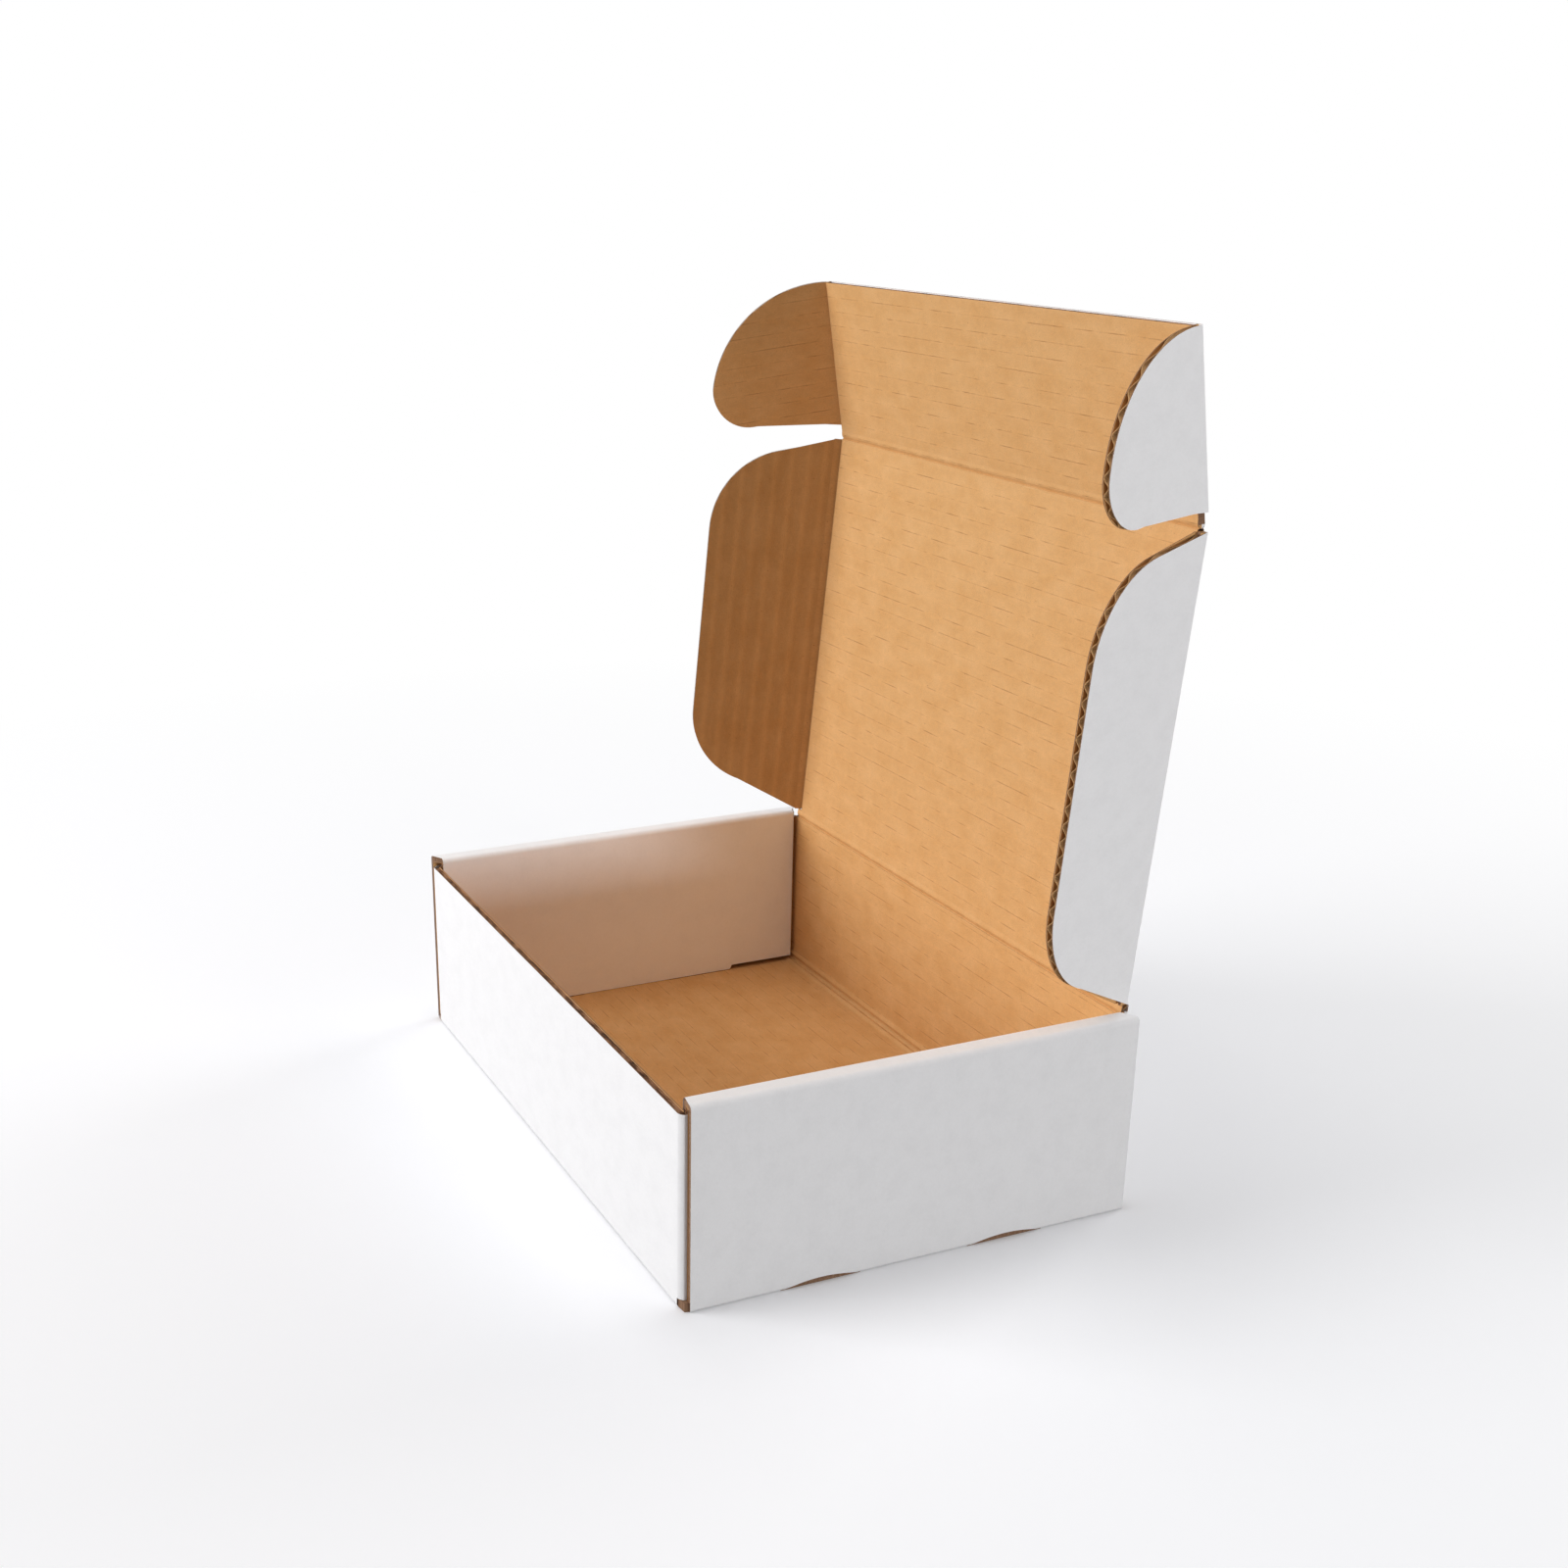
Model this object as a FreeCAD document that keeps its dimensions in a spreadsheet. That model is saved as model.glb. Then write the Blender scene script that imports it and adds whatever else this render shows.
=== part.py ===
"""Corrugated mailer box: one die-cut sheet folded into a tray with rolled side walls and a lid whose
side wings and tucking front flap fold in.

The tray's underside is centred on the origin, X runs along the hinge, the front wall faces -Y and
the lid stands open at the back (+Y). Every flap is drawn flat in its own frame: X along its crease,
Y away from the crease, Z towards the unbleached inner side, with the board's middle at Z = 0.
"""

import FreeCAD, Part
import os
import Sketcher

doc = FreeCAD.newDocument("mailer_box")

SIZES = [
    ("boxLength", "280", "outside, along the hinge"),
    ("boxDepth", "185", "outside, front to back"),
    ("boxHeight", "80", "outside, to the top of the rolled side walls"),
    ("board", "2.8", "thickness of the fluted board"),
    ("liner", "0.35", "thickness of the two flat liners"),
    ("fluting", "0.3", "thickness of the waved paper between them"),
    ("flutePitch", "6.1", "from flute to flute"),
    ("fluteCrest", "1.6", "flat top of each flute"),
    ("creaseCrush", "3", "flutes crushed shut beside a crease"),
    ("fluteMargin", "1", "first and last open flute to an edge along them"),
    ("rawEdgeGroove", "1", "depth of the open flute along a raw edge"),
    ("plyGap", "0.2", "between the plies of a rolled side wall"),
    ("frontDrop", "4.4", "front wall below the side walls"),
    ("rimRadius", "2", "outer rounding of the rolled rims"),
    ("footRadius", "1.4", "outer rounding of the bottom folds"),
    ("creaseGap", "0.4", "between a flap's bead and the edge it folds on"),
    ("lidGap", "0.6", "lid to each side wall when shut"),
    ("tuckGap", "0.3", "front flap to the front wall when shut"),
    ("leftSetback", "0.6", "left outer ply behind the front face"),
    ("rightSetback", "2.5", "right outer ply behind the front face"),
    ("rearSetback", "1.4", "outer plies short of the back face"),
    ("frontPanelGap", "0.6", "inner plies to the front wall"),
    ("rearPanelGap", "2", "inner plies to the back wall"),
    ("cornerFlapLength", "62", "corner flaps between the plies"),
    ("cornerFlapFoot", "1", "corner flaps above the floor"),
    ("tabWidth", "32", "locking tabs of the inner plies"),
    ("tabSpacing", "77", "between the two tabs of a side"),
    ("slotGap", "0.3", "floor slot round its tab"),
    ("tabRise", "0.3", "tab ends above the ground"),
    ("notchRise", "2.2", "finger notch in the bottom fold over a tab"),
    ("footRelief", "2", "inner plies behind their tabs, above the rest of their foot"),
    ("openAngle", "95.2", "lid from shut, as it stands"),
    ("tuckAngle", "14.3", "front flap out of the lid's plane"),
    ("wingAngle", "70", "wings out of the lid's plane"),
    ("earAngle", "70", "ears out of the front flap's plane"),
    ("wingWidth", "57", "wings, from crease to edge"),
    ("wingStart", "3", "wings begin this far from the hinge"),
    ("wingSlot", "6", "wings end this far from the lid's front crease"),
    ("wingHeelSet", "10", "slant of the wings' rear edge"),
    ("wingHeelOut", "24", "straight part of that edge ends this far from the crease"),
    ("wingHeelReach", "47", "wings' rear curve ends this far along"),
    ("wingHeelRadius", "60", "wings' rear curve"),
    ("wingNoseSet", "3", "slant of the wings' front edge"),
    ("wingNoseRadius", "36", "wings' front corner"),
    ("tuckLength", "67", "front flap, from crease to edge"),
    ("earStart", "5.2", "ears begin this far from the lid's front crease"),
    ("earWidth", "57.5", "ears, from crease to corner"),
    ("earNeckSet", "3.1", "ears' lower edge, set in at the neck"),
    ("earNeckOut", "6.6", "neck from the crease"),
    ("earSideSet", "8.5", "ears' lower edge, set in along its side"),
    ("earSideOut", "34", "side's start from the crease"),
    ("earCurve", "51.4", "radius of the ears' long curve"),
    ("earCornerRadius", "15", "ears' lower corner"),
]

DERIVED = [
    ("half", "dims.boxLength / 2"),
    ("front", "-dims.boxDepth / 2"),
    ("back", "dims.boxDepth / 2"),
    ("flapInner", "places.half - 2 * dims.board - dims.plyGap"),
    ("panelInner", "places.flapInner - dims.plyGap - dims.board"),
    ("frontTop", "dims.boxHeight - dims.frontDrop"),
    ("hingeHeight", "dims.boxHeight - dims.board / 2"),
    ("hingeDepth", "places.back - dims.board / 2"),
    ("seat", "dims.board / 2 + dims.creaseGap"),
    ("creaseSide", "places.panelInner - dims.lidGap - dims.board / 2"),
    ("panelEdge", "places.creaseSide - places.seat"),
    ("lidReach", "dims.boxDepth - 2 * dims.board - dims.tuckGap"),
    ("core", "dims.board / 2 - dims.liner"),
    ("fluteFoot", "dims.flutePitch - dims.fluteCrest - 2 * dims.fluting"),
]

LEFT, RIGHT = -1, 1


def add_sheet():
    sheet = doc.addObject("Spreadsheet::Sheet", "dims")
    for row, (alias, size, note) in enumerate(SIZES, start=1):
        sheet.set(f"A{row}", size)
        sheet.setAlias(f"A{row}", alias)
        sheet.set(f"B{row}", note)
    doc.recompute()
    return sheet


def add_places():
    """Places that several pieces share, worked out from the sheet."""
    places = doc.addObject("App::VarSet", "places")
    for name, formula in DERIVED:
        places.addProperty("App::PropertyFloat", name)
        places.setExpression(name, formula)
        doc.recompute()
    return places


dims = add_sheet()
places = add_places()


def number(formula):
    return float(dims.evalExpression(formula))


def add_body(name):
    body = doc.addObject("PartDesign::Body", name)
    body.Label = name
    return body


def add_sketch(body, name, plane, offset="0"):
    """A sketch on one of the body's own planes, moved along the plane's normal."""
    sketch = body.newObject("Sketcher::SketchObject", name)
    support = next(part for part in body.Origin.OriginFeatures if part.Role == plane)
    sketch.AttachmentSupport = [(support, "")]
    sketch.MapMode = "FlatFace"
    sketch.setExpression("AttachmentOffset.Base.z", offset)
    return sketch


def pin(sketch, edge, end, formulas):
    """Ties one end of an edge to the sheet."""
    for kind, formula in zip(("DistanceX", "DistanceY"), formulas):
        constraint = Sketcher.Constraint(kind, -1, 1, edge, end, number(formula))
        index = sketch.addConstraint(constraint)
        sketch.setExpression(f"Constraints[{index}]", formula)


def draw(sketch, corners, bulges=()):
    """A closed outline of lines; bulges holds {edge: radius} for edges that are arcs, bowed outwards."""
    bulges = dict(bulges)
    points = [FreeCAD.Vector(number(x), number(y), 0) for x, y in corners]
    area = sum(a.x * b.y - b.x * a.y for a, b in zip(points, points[1:] + points[:1]))
    first = len(sketch.Geometry)
    for i, start in enumerate(points):
        stop = points[(i + 1) % len(points)]
        if i in bulges:
            chord = stop - start
            outward = FreeCAD.Vector(chord.y, -chord.x, 0)
            outward = outward * ((1 if area >= 0 else -1) / chord.Length)
            radius = number(bulges[i])
            rise = radius - (radius**2 - chord.Length**2 / 4) ** 0.5
            middle = (start + stop) / 2 + outward * rise
            sketch.addGeometry(Part.Arc(start, middle, stop), False)
        else:
            sketch.addGeometry(Part.LineSegment(start, stop), False)
    ends = []
    for i, start in enumerate(points):
        edge = first + i
        begins = sketch.getPoint(edge, 1).isEqual(start, 1e-6)
        ends.append((1, 2) if begins else (2, 1))
    for i, corner in enumerate(corners):
        following = (i + 1) % len(corners)
        sketch.addConstraint(
            Sketcher.Constraint(
                "Coincident", first + i, ends[i][1], first + following, ends[following][0]
            )
        )
        pin(sketch, first + i, ends[i][0], corner)
    for i, formula in bulges.items():
        index = sketch.addConstraint(Sketcher.Constraint("Radius", first + i, number(formula)))
        sketch.setExpression(f"Constraints[{index}]", formula)


def draw_circle(sketch, radius):
    """A circle about the sketch's origin."""
    sketch.addGeometry(
        Part.Circle(FreeCAD.Vector(), FreeCAD.Vector(0, 0, 1), number(radius)), False
    )
    sketch.addConstraint(Sketcher.Constraint("Coincident", 0, 3, -1, 1))
    index = sketch.addConstraint(Sketcher.Constraint("Radius", 0, number(radius)))
    sketch.setExpression(f"Constraints[{index}]", radius)


def grow(body, kind, name, sketch, length, symmetric=False, flip=False):
    """A pad or a pocket of the sketch."""
    feature = body.newObject(f"PartDesign::{kind}", name)
    feature.Profile = sketch
    feature.setExpression("Length", length)
    feature.SideType = "Symmetric" if symmetric else "One side"
    feature.Reversed = flip
    doc.recompute()
    return feature


def finish_edges(body, kind, name, size, wanted):
    """A fillet or chamfer on each edge of the body whose middle the test accepts."""
    base = body.Tip
    names = []
    for i, edge in enumerate(base.Shape.Edges, start=1):
        middle = edge.valueAt((edge.FirstParameter + edge.LastParameter) / 2)
        if wanted(edge, middle):
            names.append(f"Edge{i}")
    feature = body.newObject(f"PartDesign::{kind}", name)
    feature.Base = (base, names)
    feature.setExpression("Radius" if kind == "Fillet" else "Size", size)
    doc.recompute()
    return feature


def near(a, b):
    return abs(a - b) < 1e-4


def along_y(edge):
    return near(edge.BoundBox.XLength, 0) and near(edge.BoundBox.ZLength, 0)


def upright(edge):
    return near(edge.BoundBox.XLength, 0) and near(edge.BoundBox.YLength, 0)


def make_tray():
    """Floor, front and back wall, and the two side walls rolled over and locked into the floor."""
    body = add_body("tray")
    for side, word in ((LEFT, "left"), (RIGHT, "right")):
        add_rolled_wall(body, side, word)
    trim_inner_plies(body)
    relieve_feet(body)
    open_ply_edges(body)
    add_floor_and_walls(body)
    open_front_rim(body)
    cut_slots(body)
    add_tabs(body)
    add_corner_flaps(body)
    return body


def add_floor_and_walls(body):
    section = add_sketch(body, "floor_and_walls_section", "YZ_Plane")
    draw(
        section,
        [
            ("places.front + dims.footRadius", "0"),
            ("places.back - dims.footRadius", "0"),
            ("places.back", "dims.footRadius"),
            ("places.back", "places.hingeHeight - places.seat"),
            ("places.back - dims.board", "places.hingeHeight - places.seat"),
            ("places.back - dims.board", "dims.board"),
            ("places.front + dims.board", "dims.board"),
            ("places.front + dims.board", "places.frontTop"),
            ("places.front", "places.frontTop"),
            ("places.front", "dims.footRadius"),
        ],
        {1: "dims.footRadius", 9: "dims.footRadius"},
    )
    grow(body, "Pad", "floor_and_walls", section, "2 * places.flapInner", symmetric=True)


def add_rolled_wall(body, side, word):
    """Outer ply up from the floor, over the rim and down again as the inner ply."""
    wall = add_sketch(
        body, f"{word}_wall_section", "XZ_Plane", "dims.rearSetback - places.back"
    )
    rows = [
        ("places.panelInner - dims.board", "0"),
        ("places.half - dims.footRadius", "0"),
        ("places.half", "dims.footRadius"),
        ("places.half", "dims.boxHeight - dims.rimRadius"),
        ("places.half - dims.rimRadius", "dims.boxHeight"),
        ("places.panelInner + dims.rimRadius", "dims.boxHeight"),
        ("places.panelInner", "dims.boxHeight - dims.rimRadius"),
        ("places.panelInner", "dims.board + dims.plyGap"),
        ("places.panelInner + dims.board", "dims.board + dims.plyGap"),
        ("places.panelInner + dims.board", "dims.boxHeight - dims.board"),
        ("places.half - dims.board", "dims.boxHeight - dims.board"),
        ("places.half - dims.board", "dims.board"),
        ("places.panelInner - dims.board", "dims.board"),
    ]
    rounds = {1: "dims.footRadius", 3: "dims.rimRadius", 5: "dims.rimRadius"}
    draw(wall, [(f"{side} * ({x})", z) for x, z in rows], rounds)
    length = f"dims.boxDepth - dims.rearSetback - dims.{word}Setback"
    grow(body, "Pad", f"{word}_wall", wall, length)


def trim_inner_plies(body):
    """The inner plies stop short of the front and back walls, with slanted ends to the roll."""
    trim = add_sketch(body, "inner_ply_ends", "XY_Plane", "dims.boxHeight")
    inside = "places.panelInner - 1"
    ply = "places.panelInner + dims.board"
    outside = "places.half - dims.board"
    for side, word in ((LEFT, "left"), (RIGHT, "right")):
        front_end = f"places.front + dims.{word}Setback"
        front_stop = "places.front + dims.board + dims.frontPanelGap"
        back_end = "places.back - dims.rearSetback"
        back_stop = "places.back - dims.board - dims.rearPanelGap"
        for end, stop, beyond in ((front_end, front_stop, "- 1"), (back_end, back_stop, "+ 1")):
            rows = [
                (inside, f"{end} {beyond}"),
                (outside, f"{end} {beyond}"),
                (outside, end),
                (ply, stop),
                (inside, stop),
            ]
            draw(trim, [(f"{side} * ({x})", y) for x, y in rows])
    grow(body, "Pocket", "inner_ply_trims", trim, "dims.boxHeight - dims.board - dims.plyGap")


def relieve_feet(body):
    """Behind their rear tabs the inner plies end a little higher, clear of the floor's fold."""
    feet = add_sketch(body, "foot_reliefs", "YZ_Plane")
    tab_end, beyond = "(dims.tabSpacing + dims.tabWidth) / 2", "places.back"
    low, high = "dims.board", "dims.board + dims.plyGap + dims.footRelief"
    draw(feet, [(tab_end, low), (beyond, low), (beyond, high), (tab_end, high)])
    grow(body, "Pocket", "relieved_feet", feet, "2 * (places.flapInner - dims.plyGap / 2)", symmetric=True)


def open_ply_edges(body):
    """The front edges of the outer plies are cut along a flute, so it lies open there."""
    for side, word in ((LEFT, "left"), (RIGHT, "right")):
        edge = add_sketch(
            body, f"{word}_open_flute", "XZ_Plane", f"-places.front - dims.{word}Setback"
        )
        x_near, x_far = "places.half - dims.board + dims.liner", "places.half - dims.liner"
        low, high = "dims.board", "dims.boxHeight - dims.board"
        rows = [(x_near, low), (x_far, low), (x_far, high), (x_near, high)]
        draw(edge, [(f"{side} * ({x})", z) for x, z in rows])
        grow(body, "Pocket", f"{word}_ply_edge", edge, "dims.rawEdgeGroove")


def open_front_rim(body):
    """The front wall's rim is cut along a flute too."""
    rim = add_sketch(body, "rim_open_flute", "XY_Plane", "places.frontTop")
    low, high = "places.front + dims.liner", "places.front + dims.board - dims.liner"
    reach = "(places.flapInner - dims.board)"
    draw(rim, [(f"-{reach}", low), (reach, low), (reach, high), (f"-{reach}", high)])
    grow(body, "Pocket", "front_rim", rim, "dims.rawEdgeGroove")


def tab_middles():
    return [f"{row} * dims.tabSpacing / 2" for row in (-1, 1)]


def rectangle(x_near, x_far, middle, width):
    low, high = f"{middle} - ({width}) / 2", f"{middle} + ({width}) / 2"
    return [(x_near, low), (x_far, low), (x_far, high), (x_near, high)]


def cut_slots(body):
    """A slot in the floor for each tab, and a shallow notch beside it in the bottom fold."""
    slots = add_sketch(body, "slot_outlines", "XY_Plane", "dims.board")
    for side in (LEFT, RIGHT):
        x_near = f"{side} * (places.panelInner - dims.slotGap)"
        x_far = f"{side} * (places.panelInner + dims.board + dims.slotGap)"
        for middle in tab_middles():
            draw(slots, rectangle(x_near, x_far, middle, "dims.tabWidth + 2 * dims.slotGap"))
    grow(body, "Pocket", "slots", slots, "dims.board")
    for side, word in ((LEFT, "left"), (RIGHT, "right")):
        notches = add_sketch(body, f"{word}_notch_outlines", "YZ_Plane", f"{side} * places.half")
        bow = "dims.notchRise / 2 + dims.tabWidth ^ 2 / (8 * dims.notchRise)"
        for middle in tab_middles():
            low, high = f"{middle} - dims.tabWidth / 2", f"{middle} + dims.tabWidth / 2"
            draw(notches, [(low, "0"), (high, "0")], {1: bow})
        depth = "places.half - places.panelInner - dims.board"
        grow(body, "Pocket", f"{word}_notches", notches, depth, flip=side == LEFT)


def add_tabs(body):
    """Tabs of the inner plies, down into the floor slots."""
    tabs = add_sketch(body, "tab_outlines", "XY_Plane", "dims.board + dims.plyGap")
    for side in (LEFT, RIGHT):
        x_near = f"{side} * places.panelInner"
        x_far = f"{side} * (places.panelInner + dims.board)"
        for middle in tab_middles():
            draw(tabs, rectangle(x_near, x_far, middle, "dims.tabWidth"))
    grow(body, "Pad", "tabs", tabs, "dims.board + dims.plyGap - dims.tabRise", flip=True)


def add_corner_flaps(body):
    """Flaps of the front and back wall, folded round the corners and held between the plies."""
    flaps = add_sketch(body, "corner_flap_outlines", "XY_Plane", "dims.board + dims.cornerFlapFoot")
    for side in (LEFT, RIGHT):
        for end in ("places.front", "places.back"):
            inward = "+" if end == "places.front" else "-"
            rows = [
                ("places.flapInner", end),
                ("places.flapInner + dims.board", f"{end} {inward} dims.board"),
                ("places.flapInner + dims.board", f"{end} {inward} dims.cornerFlapLength"),
                ("places.flapInner", f"{end} {inward} dims.cornerFlapLength"),
            ]
            draw(flaps, [(f"{side} * ({x})", y) for x, y in rows], {0: "dims.board"})
    height = "places.frontTop - dims.board - dims.cornerFlapFoot"
    grow(body, "Pad", "corner_flaps", flaps, height)


def hinge_placement(x="0", y="0", z="0", axis="1; 0; 0", angle="0"):
    return (
        f"create(<<placement>>; create(<<vector>>; {x}; {y}; {z}); "
        f"create(<<rotation>>; create(<<vector>>; {axis}); {angle}))"
    )


def add_bead(body, start, length, plane="YZ_Plane", symmetric=False):
    """The rounded edge that turns on the crease, about the body's X axis."""
    circle = add_sketch(body, f"{body.Name}_bead_section", plane, start)
    draw_circle(circle, "dims.board / 2")
    grow(body, "Pad", f"{body.Name}_bead", circle, length, symmetric=symmetric)


def open_flutes(body, side, start, end, reach):
    """The flutes' hollows run out of the free edge: between two crests of the waved paper they lie
    against one liner, and the next ones against the other."""
    pair = add_sketch(body, f"{body.Name}_flute_section", "XZ_Plane", "-dims.creaseCrush")
    middle = f"{start} + dims.fluteMargin + places.fluteFoot / 2"
    top = "(places.core - dims.fluting)"
    for centre, liner in ((middle, "-"), (f"{middle} + dims.flutePitch / 2", "")):
        away = "" if liner else "-"
        rows = [
            (f"{centre} - places.fluteFoot / 2", f"{liner}places.core"),
            (f"{centre} + places.fluteFoot / 2", f"{liner}places.core"),
            (f"{centre} + dims.fluteCrest / 2", f"{away}{top}"),
            (f"{centre} - dims.fluteCrest / 2", f"{away}{top}"),
        ]
        draw(pair, [(f"{-side} * ({x})", z) for x, z in rows])
    first = grow(body, "Pocket", f"{body.Name}_first_flutes", pair, reach)
    pattern = body.newObject("PartDesign::LinearPattern", f"{body.Name}_flutes")
    pattern.Originals = [first]
    axis = next(part for part in body.Origin.OriginFeatures if part.Role == "X_Axis")
    pattern.Direction = (axis, [""])
    pattern.Reversed = side == RIGHT
    pattern.Mode = "Spacing"
    pattern.setExpression("Offset", "dims.flutePitch")
    room = f"{end} - ({start}) - 2 * dims.fluteMargin - places.fluteFoot - dims.flutePitch / 2"
    pattern.setExpression("Occurrences", f"floor(({room}) / dims.flutePitch) + 1")
    body.Tip = pattern
    doc.recompute()


def make_lid_panel():
    body = add_body("lid_panel")
    outline = add_sketch(body, "lid_outline", "XY_Plane")
    edge, wide = "places.panelEdge", "places.creaseSide + dims.board / 2"
    root, tip = "dims.wingStart - dims.creaseGap", "places.lidReach - places.seat"
    right_half = [(wide, "0"), (wide, root), (edge, root), (edge, tip)]
    left_half = [(f"-({x})", y) for x, y in reversed(right_half)]
    draw(outline, right_half + left_half)
    grow(body, "Pad", "lid_board", outline, "dims.board", symmetric=True)
    crease_x, inner_face = number(edge), number("dims.board / 2")
    finish_edges(
        body,
        "Chamfer",
        "lid_creases",
        "dims.board / 2 - 0.01",
        lambda rim, middle: along_y(rim)
        and near(abs(middle.x), crease_x)
        and near(middle.z, inner_face),
    )
    add_bead(body, "0", f"2 * ({wide})", symmetric=True)
    place = hinge_placement(y="places.hingeDepth", z="places.hingeHeight", angle="180 - dims.openAngle")
    body.setExpression("Placement", place)
    return body


def make_tuck_flap():
    body = add_body("tuck_flap")
    outline = add_sketch(body, "tuck_outline", "XY_Plane")
    edge, tip = "places.panelEdge", "dims.tuckLength"
    draw(outline, [(f"-{edge}", "0"), (edge, "0"), (edge, tip), (f"-{edge}", tip)])
    grow(body, "Pad", "tuck_board", outline, "dims.board", symmetric=True)
    add_bead(body, "0", f"2 * {edge}", symmetric=True)
    fold = hinge_placement(y="places.lidReach", angle="dims.tuckAngle")
    body.setExpression("Placement", f"lid_panel.Placement * {fold}")
    return body


def side_placement(carrier, side, angle):
    """A flap on a side crease of its carrier: turned to face outwards, then folded in."""
    crease = hinge_placement(x=f"{side} * places.creaseSide", axis="0; 0; 1", angle=f"{-side} * 90")
    return f"{carrier}.Placement * {crease} * {hinge_placement(angle=angle)}"


def make_wing(side, word):
    """Side wing of the lid: slanted at the hinge, with a large round corner at the front."""
    body = add_body(f"lid_wing_{word}")
    outline = add_sketch(body, f"{body.Name}_outline", "XY_Plane")
    end = "(places.lidReach - dims.wingSlot)"
    rows = [
        ("dims.wingStart", "0"),
        (end, "0"),
        (f"{end} - dims.wingNoseSet", "dims.wingWidth"),
        ("dims.wingStart + dims.wingHeelReach", "dims.wingWidth"),
        ("dims.wingStart + dims.wingHeelSet", "dims.wingHeelOut"),
    ]
    draw(outline, [(f"{-side} * ({x})", y) for x, y in rows], {3: "dims.wingHeelRadius"})
    grow(body, "Pad", f"{body.Name}_board", outline, "dims.board", symmetric=True)
    nose, far = number(f"{end} - dims.wingNoseSet"), number("dims.wingWidth")
    finish_edges(
        body,
        "Fillet",
        f"{body.Name}_nose",
        "dims.wingNoseRadius",
        lambda edge, middle: upright(edge) and near(middle.y, far) and near(abs(middle.x), nose),
    )
    start = "dims.wingStart" if side == LEFT else f"-{end}"
    add_bead(body, start, f"{end} - dims.wingStart")
    open_from, open_to = "dims.wingStart + dims.wingHeelSet / 2", f"{end} - dims.wingNoseSet"
    open_flutes(body, side, open_from, open_to, "dims.wingWidth")
    body.setExpression("Placement", side_placement("lid_panel", side, "dims.wingAngle"))
    return body


def make_ear(side, word):
    """Ear of the front flap: one long curve from the flap's free edge to a rounded lower corner."""
    body = add_body(f"tuck_ear_{word}")
    outline = add_sketch(body, f"{body.Name}_outline", "XY_Plane")
    rows = [
        ("dims.earStart", "0"),
        ("dims.tuckLength", "0"),
        ("dims.earStart + dims.earSideSet", "dims.earWidth"),
        ("dims.earStart + dims.earSideSet", "dims.earSideOut"),
        ("dims.earStart + dims.earNeckSet", "dims.earNeckOut"),
    ]
    draw(outline, [(f"{-side} * ({x})", y) for x, y in rows], {1: "dims.earCurve"})
    grow(body, "Pad", f"{body.Name}_board", outline, "dims.board", symmetric=True)
    far = number("dims.earWidth")
    finish_edges(
        body,
        "Fillet",
        f"{body.Name}_corner",
        "dims.earCornerRadius",
        lambda edge, middle: upright(edge) and near(middle.y, far),
    )
    start = "dims.earStart" if side == LEFT else "-dims.tuckLength"
    add_bead(body, start, "dims.tuckLength - dims.earStart")
    open_from = "dims.earStart + dims.earSideSet"
    open_flutes(body, side, open_from, "dims.tuckLength", "dims.earWidth")
    body.setExpression("Placement", side_placement("tuck_flap", side, "dims.earAngle"))
    return body


bodies = [
    make_tray(),
    make_lid_panel(),
    make_wing(LEFT, "left"),
    make_wing(RIGHT, "right"),
    make_tuck_flap(),
    make_ear(LEFT, "left"),
    make_ear(RIGHT, "right"),
]
doc.recompute()

for item in doc.Objects:
    if "Invalid" in item.State or "Error" in item.State:
        raise RuntimeError(f"{item.Name} did not build: {item.State}")
for body in bodies:
    shape = body.Shape
    if shape.isNull() or not shape.isValid() or len(shape.Solids) != 1:
        raise RuntimeError(f"{body.Label} is not one valid solid")

os.makedirs("parts", exist_ok=True)
for body in bodies:
    body.Shape.exportStep(f"parts/{body.Label}.step")
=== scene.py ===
"""Looks of the corrugated mailer box: three-layer fluted board, folded, on a pale studio floor.

Sizes are millimetres until a mesh is made, and the studio is in metres. Each flap is drawn flat in its
own frame: X along its crease, Y away from the crease, Z towards the unbleached side, with the middle of
the board at Z = 0. A side is -1 for left and 1 for right.
"""

import math

import bmesh
import bpy
import numpy as np
from mathutils import Matrix, Vector


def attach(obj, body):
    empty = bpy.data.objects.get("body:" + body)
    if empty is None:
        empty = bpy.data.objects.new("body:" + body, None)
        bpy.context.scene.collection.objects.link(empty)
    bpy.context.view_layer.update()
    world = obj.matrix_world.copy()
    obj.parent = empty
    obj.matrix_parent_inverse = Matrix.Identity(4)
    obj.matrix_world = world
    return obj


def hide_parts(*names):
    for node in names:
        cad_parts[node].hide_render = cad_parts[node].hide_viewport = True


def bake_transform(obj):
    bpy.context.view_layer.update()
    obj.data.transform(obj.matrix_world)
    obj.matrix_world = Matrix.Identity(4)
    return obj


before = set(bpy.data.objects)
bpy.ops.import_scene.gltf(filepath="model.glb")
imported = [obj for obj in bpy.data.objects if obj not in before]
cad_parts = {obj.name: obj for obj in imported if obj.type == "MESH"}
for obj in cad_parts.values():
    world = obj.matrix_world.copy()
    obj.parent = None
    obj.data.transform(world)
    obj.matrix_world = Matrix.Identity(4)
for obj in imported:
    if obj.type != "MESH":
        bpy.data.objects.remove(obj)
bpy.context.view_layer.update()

MM = 0.001

# Board.
BOARD = 2.8
HALF_BOARD = BOARD / 2
LINER = 0.35
FLUTE_PAPER = 0.24
PITCH = 6.1
STEPS_PER_FLUTE = 12

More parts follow.
